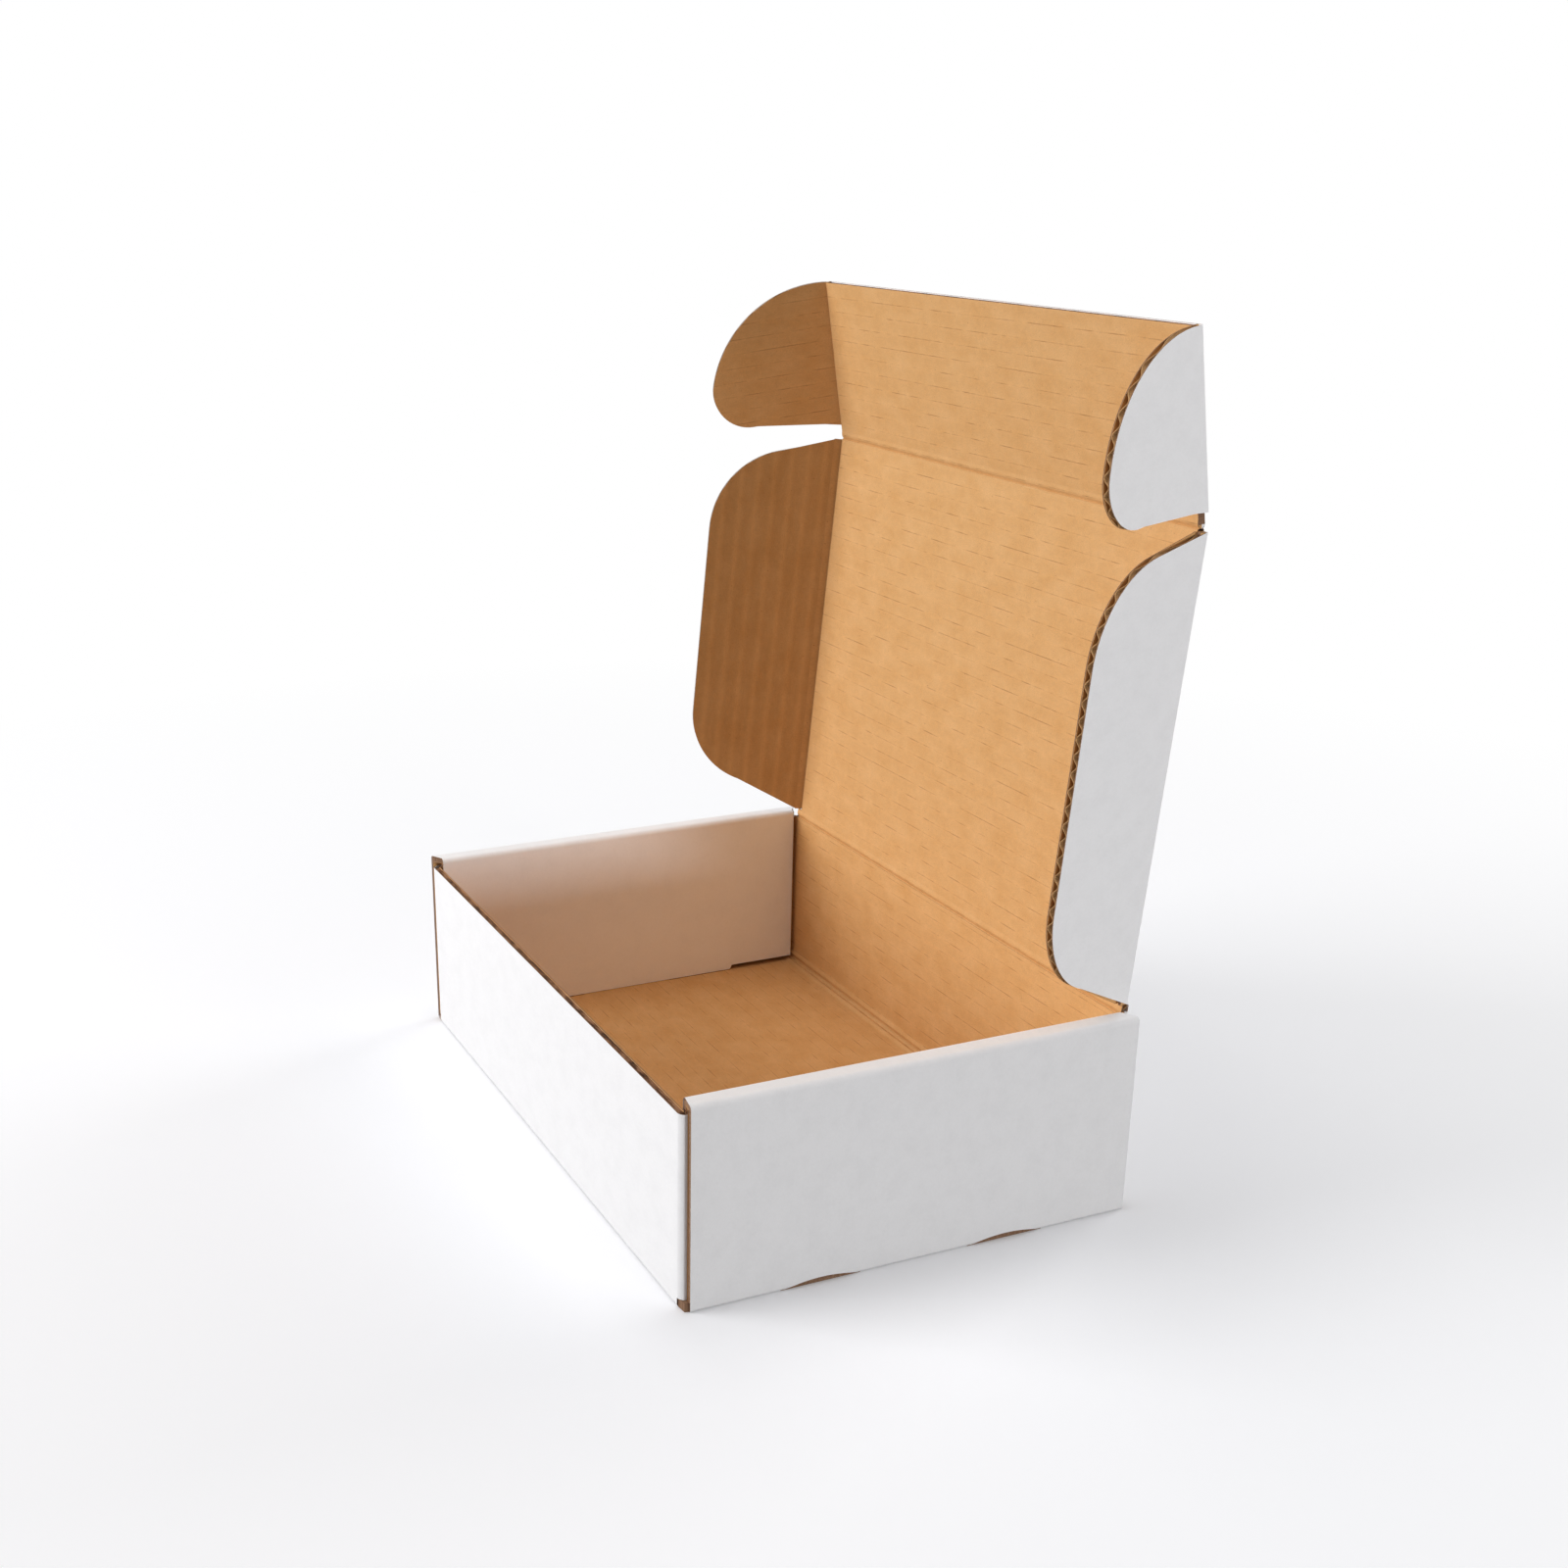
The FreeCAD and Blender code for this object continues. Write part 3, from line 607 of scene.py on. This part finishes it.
def closed_edge(white, kraft, a, b, placement, flutes):
    """Both liners pressed together along an edge from a to b."""
    a, b = np.array(a, float), np.array(b, float)
    inward = np.array([a[1] - b[1], b[0] - a[0]]) / np.hypot(*(b - a)) * LINER
    ring = [tuple(p) for p in (a, b, b + inward, a + inward)]
    white.prism(ring, LINER - HALF_BOARD, 0, placement, flutes)
    kraft.prism(ring, 0, HALF_BOARD - LINER, placement, flutes)


def flap(
    name, body, node, outline, placement, flutes, bead_span,
    closed=(), raw=(), painted_shade_liner=False, clear=0.0,
):
    """A flat flap: two liners with fluting between them, and the bead it turns on."""
    white, kraft, crushed = Sheet(), Sheet(), Sheet()
    bands = "x" if painted_shade_liner else flutes
    white.prism(outline, -HALF_BOARD, LINER - HALF_BOARD, placement, flutes)
    inner = [(x, max(y, clear)) for x, y in outline]
    kraft.prism(inner, HALF_BOARD - LINER, HALF_BOARD, placement, bands)
    if clear:
        # The crushed board between the crease and where the inner layers begin.
        x0, x1 = bead_span
        root = [(x0, 0.0), (x1, 0.0), (x1, clear), (x0, clear)]
        kraft.prism(root, LINER - HALF_BOARD, CRUSHED_TOP, placement, bands)
    bead(white, kraft, *bead_span, placement)
    for a, b in closed:
        closed_edge(white, kraft, a, b, placement, flutes)
    for a, b in raw:
        edge_fill(crushed, a, b, placement)
    dress(white.make(f"{name}_white_liner", WHITE), body, node)
    # The left wing's darker liner is painted shade.
    liner = KRAFT_PAINTED_SHADE if painted_shade_liner else KRAFT
    dress(kraft.make(f"{name}_kraft_liner", liner), body, node)
    if raw:
        dress(crushed.make(f"{name}_raw_edge", CRUSHED), body, node)

    axis = 0 if flutes == "x" else 1
    span = reach_of(outline, axis)
    root_gap = FLUTE_ROOT if axis == 0 else clear

    def wrap(across, share, rise):
        low, high = span(across)
        low, high = low + root_gap, high - FLUTE_TIP
        along = low + (high - low) * share
        flat = (along, across) if axis == 0 else (across, along)
        return placement @ Vector((*flat, rise)), along

    places = [p[1 - axis] for p in outline]
    first, last = min(places) + FLUTE_SIDE, max(places) - FLUTE_SIDE
    fluting(f"{name}_fluting", first, last, wrap, body, node)


def make_lid():
    root = PANEL_ROOT - ROOT_CUT
    right = [(LID_HALF, 0.0), (LID_HALF, root), (PANEL_EDGE, root), (PANEL_EDGE, LID_TIP)]
    outline = right + [(-x, y) for x, y in reversed(right)]
    corners = [(PANEL_EDGE, PANEL_ROOT), (PANEL_EDGE, LID_TIP)]
    corners += [(-x, y) for x, y in reversed(corners)]
    closed = list(zip(corners, corners[1:]))
    flap("lid", "lid", "lid_panel", outline, LID, "x", (-LID_HALF, LID_HALF), closed)


def make_tuck():
    wide, tip = PANEL_EDGE, TUCK_LONG
    outline = [(-wide, 0.0), (wide, 0.0), (wide, tip), (-wide, tip)]
    closed = [((wide, 0.0), (wide, tip)), ((-wide, tip), (-wide, 0.0))]
    raw = [((wide, tip), (-wide, tip))]
    flap("tuck", "tuck", "tuck_flap", outline, TUCK_FLAP, "x", (-wide, wide), closed, raw)


def make_wings_and_ears():
    for side, word in ((-1, "left"), (1, "right")):
        flap(
            f"{word}_wing", f"wing_{word}", f"lid_wing_{word}", wing_outline(side),
            side_frame(LID, side, WING), "y", crease_span(side, WING_START, WING_END),
            painted_shade_liner=side < 0, clear=WING_CLEAR,
        )
        flap(
            f"{word}_ear", f"ear_{word}", f"tuck_ear_{word}", ear_outline(side),
            side_frame(TUCK_FLAP, side, EAR), "y", crease_span(side, EAR_START, TUCK_LONG),
        )


# ---------------------------------------------------------------- creases


def crease(name, carrier, flap_body, placement, angle, x0, x1, landing=(CREASE_LAP,)):
    """The two liners over a crease, from the carrier's edge onto the flap's bead.
    Landing says how far from the crease the inner paper lies on the flap."""
    turned = turn("X", angle)

    def on_flap(y, z):
        point = turned @ Vector((0, y, z))
        return (point.y, point.z)

    if abs(angle) < SLIGHT_BEND:
        inside = [(y, HALF_BOARD + z) for y, z in GROOVE]
        inside += [on_flap(y, HALF_BOARD + z) for y, z in GROOVE_ON_FLAP]
    else:
        edge, over = (-SEAT, HALF_BOARD + OFF_EDGE), on_flap(0, HALF_BOARD + OFF_EDGE)
        middle = tuple((np.array(edge) + np.array(over)) / 2)
        inside = [(-SEAT - CREASE_LAP, HALF_BOARD + OFF_INNER), edge, middle, over]
        inside += [on_flap(away, HALF_BOARD + OFF_INNER) for away in landing]
    outside = [(y, -HALF_BOARD - OFF_OUTER) for y in (-SEAT - CREASE_LAP, -SEAT)]
    outside += [on_flap(*p) for p in arc((0, 0), HALF_BOARD + OFF_INNER, 205, 225, 1)]
    # The left wing's crease takes the liner with painted shade.
    kraft = KRAFT_PAINTED_SHADE if name == "left_wing_crease" else KRAFT
    for word, line, last, depth, material in (
        ("kraft", inside, len(inside) - 2, -CREASE_PAPER, kraft),
        ("white", outside, len(outside) - 1, CREASE_PAPER, WHITE),
    ):
        sheet = Sheet()
        sheet.swept(
            line, thicken(line, depth), [(x0, x1)] * len(line),
            lambda y, z, x: tuple(placement @ Vector((x, y, z))),
            lambda i, x: (x, line[i][0]),
        )
        piece = sheet.make(f"{name}_{word}", material)
        ends = [placement @ Vector((0, *line[i])) * MM for i in (1, last)]
        tuple(ends[0])
        tuple(ends[1])
        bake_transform(piece)


def make_creases():
    wall = shift(0, HINGE_Y, HINGE_Z) @ turn("X", 90)
    crease("lid_crease", "tray", "lid", wall, 90 - OPEN, -LID_HALF, LID_HALF)
    front = LID @ shift(0, REACH)
    crease("tuck_crease", "lid", "tuck", front, TUCK, -PANEL_EDGE, PANEL_EDGE)
    landing = [WING_CLEAR * share for share in (0.35, 0.7, 1.0, 1.1)]
    for side, word in ((-1, "left"), (1, "right")):
        edge, span = side_frame(LID, side, 0), crease_span(side, WING_START, WING_END)
        crease(f"{word}_wing_crease", "lid", f"wing_{word}", edge, WING, *span, landing)
        edge, span = side_frame(TUCK_FLAP, side, 0), crease_span(side, EAR_START, TUCK_LONG)
        crease(f"{word}_ear_crease", "tuck", f"ear_{word}", edge, EAR, *span)


# ---------------------------------------------------------------- tray


def lengths(line):
    """How far along a line each of its points is."""
    out = [0.0]
    for a, b in zip(line, line[1:]):
        out.append(out[-1] + math.dist(a, b))
    return out


def thicken(line, depth):
    """The line moved to its left by depth, with mitred corners."""
    points = np.array(line, float)
    steps = np.diff(points, axis=0)
    steps /= np.linalg.norm(steps, axis=1)[:, None]
    normals = np.stack([-steps[:, 1], steps[:, 0]], 1)
    out = []
    for i, p in enumerate(points):
        a = normals[max(i - 1, 0)]
        b = normals[min(i, len(normals) - 1)]
        bisector = (a + b) / np.linalg.norm(a + b)
        out.append(tuple(p + bisector * depth / max(0.5, bisector @ a)))
    return out


def section_of_walls():
    """Outside and inside line of front wall, floor and back wall, in (Y, Z), from the front rim."""
    outside = [(FRONT, FRONT_TOP)] + arc((FRONT + FOOT_R, FOOT_R), FOOT_R, 180, 270)
    outside += arc((BACK - FOOT_R, FOOT_R), FOOT_R, 270, 360) + [(BACK, BACK_TOP)]
    near, far = FRONT + BOARD, BACK - BOARD
    inside = [(near, FRONT_TOP)] + [(near + y, BOARD + z) for y, z in FLOOR_BEAD]
    inside += [(far - y, BOARD + z) for y, z in reversed(FLOOR_BEAD)] + [(far, BACK_TOP)]
    return outside, inside


def across_box(sheet, line, depth, low, high):
    """A layer along a (Y, Z) line, from one place across the box to another."""
    along = lengths(line)
    sheet.swept(
        line, thicken(line, depth), [(low, high)] * len(line),
        lambda y, z, x: (x, y, z), lambda i, x: (x, along[i]),
    )


def make_walls(white, kraft):
    """Front wall, floor and back wall. Under the side walls the floor has its slots for the tabs."""
    slot_in, slot_half = PANEL_IN - SLOT_GAP, TAB_HALF + SLOT_GAP
    cuts = [y for at in TAB_AT for y in (at - slot_half, at + slot_half)]
    outside, inside = section_of_walls()
    for sheet, line, depth in ((white, outside, LINER), (kraft, inside, -LINER)):
        across_box(sheet, line, depth, -slot_in, slot_in)
        bends = [i for i, (_, z) in enumerate(line) if z < WALL_BENDS_BELOW]
        rear = bends[len(bends) // 2]
        level = line[rear][1]
        pieces = (
            line[:rear] + [(cuts[0], level)],
            [(cuts[1], level), (cuts[2], level)],
            [(cuts[3], level)] + line[rear:],
        )
        for side in (-1, 1):
            low, high = sorted((side * slot_in, side * FLAP_IN))
            for piece in pieces:
                across_box(sheet, piece, depth, low, high)


def roll_line():
    """Outside line of a rolled wall in (X, Z): floor edge, outer ply, rim, inner ply."""
    line = [(FLAP_IN, 0.0)] + arc((HALF - FOOT_R, FOOT_R), FOOT_R, -90, 0) + [(HALF, SKIRT_TOP)]
    line += arc((HALF - RIM_R, HIGH - RIM_R), RIM_R, 0, 90)
    line += arc((PANEL_IN + RIM_R, HIGH - RIM_R), RIM_R, 90, 180)
    return line + [(PANEL_IN, RELIEF_TOP)]


def roll_span(side, x, z):
    """Front and rear end of a rolled wall at one place of its section."""
    front = FRONT + SETBACK[side]
    share = min(1.0, max(0.0, (PLY_IN - x) / (PLY_IN - PANEL_OUT)))
    if z < HIGH / 2 and x > PANEL_OUT:
        share = 0.0
    return (front + (PANEL_FRONT - front) * share, REAR_END + (PANEL_BACK - REAR_END) * share)


def notch_height(y):
    """How high a notch's arched edge is at one place along the side wall."""
    away = min(abs(y - middle) for middle in TAB_AT)
    if away >= TAB_HALF:
        return 0.0
    return math.sqrt(NOTCH_R**2 - away**2) - (NOTCH_R - NOTCH_RISE)


def notch_rows(middle):
    return np.linspace(middle - TAB_HALF, middle + TAB_HALF, NOTCH_STEPS + 1)


def skirt(white, side, middle):
    """The outer ply's white paper above one tab, from the notch's arched edge up."""
    rings, flat = [], []
    for y in notch_rows(middle):
        heights = np.linspace(notch_height(y), SKIRT_TOP, 7)
        ring = []
        for depth, levels in ((0.0, heights), (LINER, heights[::-1])):
            for z in levels:
                drop = max(0.0, FOOT_R - z)
                reach = math.sqrt(max(0.0, (FOOT_R - depth) ** 2 - drop**2))
                ring.append((side * (HALF - FOOT_R + reach), y, z))
        rings.append(ring)
        flat += [(z, y) for _, _, z in ring]
    white.strip(rings, flat)


def make_roll(white, kraft, side):
    """The papers of one rolled wall: the white outside, with its notches, and the kraft inside."""

    def place(x, z, y):
        return (side * x, y, z)

    outer = roll_line()
    inner = thicken(outer, LINER)
    along = lengths(outer)
    spans = [roll_span(side, x, z) for x, z in outer]
    start = outer.index((HALF, SKIRT_TOP))
    white.swept(
        outer[start:], inner[start:], spans[start:], place, lambda i, y: (along[i + start], y)
    )

    # The inner ply's foot, from the front end to just behind the last tab.
    tab_end = TAB_AT[1] + TAB_HALF
    foot_spans = [(spans[-1][0], tab_end + RELIEF_SLANT), (spans[-1][0], tab_end)]
    for sheet, x0, x1 in (
        (white, PANEL_IN, PANEL_IN + LINER),
        (kraft, PANEL_OUT, PANEL_OUT - LINER),
    ):
        sheet.swept(
            [(x0, RELIEF_TOP), (x0, PANEL_FOOT)], [(x1, RELIEF_TOP), (x1, PANEL_FOOT)],
            foot_spans, place, lambda i, y: (along[-1] + RELIEF * i, y),
        )

    # The outer ply's foot, before, between and behind the notches, and the paper above them.
    foot, foot_in = outer[: start + 1], inner[: start + 1]
    notches = [y for at in TAB_AT for y in (at - TAB_HALF, at + TAB_HALF)]
    edges = [spans[0][0], *notches, spans[0][1]]
    for span in zip(edges[::2], edges[1::2]):
        white.swept(foot, foot_in, [span] * len(foot), place, lambda i, y: (along[i], y))
    for middle in TAB_AT:
        skirt(white, side, middle)

    inside = [
        (FLAP_IN, BOARD), (PLY_IN - FOOT_BEVEL, BOARD), (PLY_IN, BOARD + FOOT_BEVEL),
        (PLY_IN, HIGH - BOARD), (PANEL_OUT, HIGH - BOARD), (PANEL_OUT, RELIEF_TOP),
    ]
    along_in = lengths(inside)
    spans = [roll_span(side, x, z) for x, z in inside]
    kraft.swept(inside, thicken(inside, -LINER), spans, place, lambda i, y: (along_in[i], y))


def make_tabs(white, kraft, crushed, side):
    for middle in TAB_AT:
        low, high = middle - TAB_HALF, middle + TAB_HALF
        for sheet, x0, x1, inset in (
            (white, PANEL_IN, PANEL_IN + LINER, 0.0),
            (crushed, PANEL_IN + LINER, PANEL_OUT - LINER, TAB_INSET),
            (kraft, PANEL_OUT - LINER, PANEL_OUT, 0.0),
        ):
            ring = [(side * x0, low + inset), (side * x1, low + inset)]
            ring += [(side * x1, high - inset), (side * x0, high - inset)]
            sheet.prism(ring, TAB_FOOT + inset, PANEL_FOOT + inset)


def fill_roll_ends(crushed, side):
    """Raw ends of the rolled wall, cut along the flutes: up the outer ply, over the rim and down."""
    bevel = RIM_BEVEL
    line = [(HALF, FOOT_R), (HALF, HIGH - bevel), (HALF - bevel, HIGH)]
    line += [(PANEL_IN + bevel, HIGH), (PANEL_IN, HIGH - bevel), (PANEL_IN, RELIEF_TOP)]
    along = lengths(line)
    for end, inward in ((0, 1), (1, -1)):
        ends = [roll_span(side, x, HIGH)[end] for x, _ in line]
        spans = [(y + inward * TORN_TOP, y + inward * TORN_DEEP) for y in ends]
        crushed.swept(
            thicken(line, LINER), thicken(line, BOARD - LINER), spans,
            lambda x, z, y: (side * x, y, z), lambda i, y: (along[i], 3 * y),
        )


def fill_notches(cut, side):
    """The board of each tab, seen in the notch beside it, and the torn corner at the front, both in the
    brown of a cut. On the tab's board this brown is painted shade, darker than its kraft face.
    """
    low, least, over = 0.05, 0.25, 0.2
    for middle in TAB_AT:
        rows = notch_rows(middle)
        edge = [(y, max(least, notch_height(y) + over)) for y in rows]
        outline = edge + [(rows[-1], low), (rows[0], low)]
        points = [(side * x, y, z) for x in (HALF - 1.0, HALF - 0.55) for y, z in outline]
        # The tab's board, in the cut's darker brown: painted shade in the notch.
        cut.add(points, outline * 2, ring_faces(len(outline)))
    torn = ((FLAP_IN, 0.5), (HALF - 1.4, 1.0), (HALF - 0.9, 2.9), (FLAP_IN, 2.9))
    cut.prism([(side * x, FRONT + y) for x, y in torn], 0.1, FLAP_FOOT - 0.2)


def make_corner_flaps(white, kraft, crushed, side):
    """Flaps of the front and back wall, folded round the corner and held between the plies."""

    def place(x, y, z):
        return (side * x, y, z)

    for wall, inward in ((FRONT, 1), (BACK, -1)):
        fold, tip = wall + inward * BOARD, wall + inward * FLAP_LONG
        centre, start = (FLAP_IN, fold), -90 * inward
        outer = arc(centre, BOARD, start, 0, 8) + [(FLAP_OUT, tip)]
        inner = arc(centre, BOARD - LINER, start, 0, 8) + [(FLAP_OUT - LINER, tip)]
        span = (FLAP_FOOT, FRONT_TOP)
        along = lengths(outer)
        white.swept(outer, inner, [span] * len(outer), place, lambda i, z: (along[i], z))
        back = [(FLAP_IN, fold), (FLAP_IN, tip)]
        deep = [(FLAP_IN + LINER, fold), (FLAP_IN + LINER, tip)]
        kraft.swept(back, deep, [span] * 2, place, lambda i, z: (along[-1] * i, z))
        low, high, rear = FLAP_IN + LINER, FLAP_OUT - LINER, tip - inward * EDGE_INSET
        rim = [(low, fold), (high, fold), (high, rear), (low, rear)]
        ring = [(side * x, y) for x, y in rim]
        crushed.prism(ring, FRONT_TOP - TORN_DEEP, FRONT_TOP - TORN_TOP, flutes="y")


def fill_wall_rims(crushed):
    """Raw rim of the front wall, and the crushed top of the back wall under the hinge."""
    for y0, z in ((FRONT, FRONT_TOP), (BACK - BOARD, BACK_TOP)):
        low, high = y0 + LINER, y0 + BOARD - LINER
        ring = [(-FLAP_IN, low), (FLAP_IN, low), (FLAP_IN, high), (-FLAP_IN, high)]
        crushed.prism(ring, z - RIM_DEEP, z - TORN_TOP)


def make_tray():
    white, kraft, crushed, cut = Sheet(), Sheet(), Sheet(), Sheet()
    make_walls(white, kraft)
    for side in (-1, 1):
        fill_notches(cut, side)
        make_roll(white, kraft, side)
        make_tabs(white, kraft, crushed, side)
        fill_roll_ends(crushed, side)
    for side in (-1, 1):
        make_corner_flaps(white, kraft, crushed, side)
    fill_wall_rims(crushed)
    dress(white.make("tray_white_liner", WHITE), "tray", "tray")
    dress(kraft.make("tray_kraft_liner", KRAFT), "tray", "tray")
    dress(crushed.make("tray_raw_edges", CRUSHED), "tray", "tray")
    dress(cut.make("tray_shaded_tabs_and_torn_corners", CUT), "tray", "tray")


# ---------------------------------------------------------------- studio


def shown_rays(tree):
    """1 for what the camera sees, straight, in a gloss or through a clear piece."""
    rays = add_node(tree, "ShaderNodeLightPath").outputs
    either = {0: rays["Is Glossy Ray"], 1: rays["Is Transmission Ray"]}
    gloss = add_node(tree, "ShaderNodeMath", {"operation": "MAXIMUM"}, either)
    either = {0: rays["Is Camera Ray"], 1: gloss}
    return add_node(tree, "ShaderNodeMath", {"operation": "MAXIMUM"}, either)


def make_floor():
    """Pale paper that gives less light back than it shows, and fades to plain white further away."""
    mesh = bpy.data.meshes.new("studio_floor")
    size = FLOOR_SIZE
    corners = [(-size, -size, 0), (size, -size, 0), (size, size, 0), (-size, size, 0)]
    mesh.from_pydata(corners, [], [(0, 1, 2, 3)])
    floor = link(bpy.data.objects.new("studio_floor", mesh))
    material, tree = new_material("studio_paper")
    place = add_node(tree, "ShaderNodeTexCoord").outputs["Object"]
    away = add_node(tree, "ShaderNodeVectorMath", {"operation": "LENGTH"}, {0: place})
    fade = {"From Min": 0.2, "From Max": 0.8}
    far = add_node(tree, "ShaderNodeMapRange", fade, {"Value": away.outputs["Value"]})
    bounce = add_node(tree, "ShaderNodeBsdfDiffuse", {"Color": linear("#858587")})
    shown = add_node(tree, "ShaderNodeBsdfDiffuse", {"Color": linear("#EDEDF0")})
    lift = add_node(tree, "ShaderNodeEmission", {"Color": (1, 1, 1, 1), "Strength": 0.16})
    near = add_node(tree, "ShaderNodeAddShader", {}, {0: shown, 1: lift})
    plain = add_node(tree, "ShaderNodeEmission", {"Color": (1, 1, 1, 1), "Strength": 1.0})
    white = add_node(tree, "ShaderNodeMixShader", {}, {0: far, 1: near, 2: plain})
    mixed = add_node(tree, "ShaderNodeMixShader", {}, {0: shown_rays(tree), 1: bounce, 2: white})
    add_node(tree, "ShaderNodeOutputMaterial", {}, {"Surface": mixed})
    mesh.materials.append(material)


def make_lamps():
    for name, place, size, watts in LAMPS:
        lamp = bpy.data.lights.new(name, "AREA")
        lamp.shape, lamp.size, lamp.energy = "SQUARE", size, watts
        obj = link(bpy.data.objects.new(name, lamp))
        obj.location = place
        aim = Vector(LAMP_AIM) - Vector(place)
        obj.rotation_euler = aim.to_track_quat("-Z", "Y").to_euler()


def make_world():
    """A dim fill on the object, and plain white behind it."""
    world = bpy.data.worlds.new("studio")
    bpy.context.scene.world = world
    world.use_nodes = True
    tree = world.node_tree
    tree.nodes.clear()
    fill = add_node(tree, "ShaderNodeBackground", {"Color": (1, 1, 1, 1), "Strength": 0.22})
    white = add_node(tree, "ShaderNodeBackground", {"Color": (1, 1, 1, 1), "Strength": 1.0})
    mixed = add_node(tree, "ShaderNodeMixShader", {}, {0: shown_rays(tree), 1: fill, 2: white})
    add_node(tree, "ShaderNodeOutputWorld", {}, {"Surface": mixed})


def make_camera():
    camera = bpy.data.cameras.new("camera")
    camera.sensor_width = SENSOR
    camera.lens = FOCAL_PIXELS / PICTURE * SENSOR
    camera.shift_x = (PICTURE / 2 - CENTRE_PIXELS[0]) / PICTURE
    camera.shift_y = (CENTRE_PIXELS[1] - PICTURE / 2) / PICTURE
    camera.clip_end = 50.0
    obj = link(bpy.data.objects.new("camera", camera))
    obj.location = CAMERA_PLACE
    obj.rotation_euler = (math.radians(90 - ELEVATION), 0.0, math.radians(AZIMUTH))
    bpy.context.scene.camera = obj


make_tray()
make_lid()
make_tuck()
make_wings_and_ears()
make_creases()
make_floor()
make_world()
make_lamps()
make_camera()
bpy.context.scene.view_settings.view_transform = "Standard"
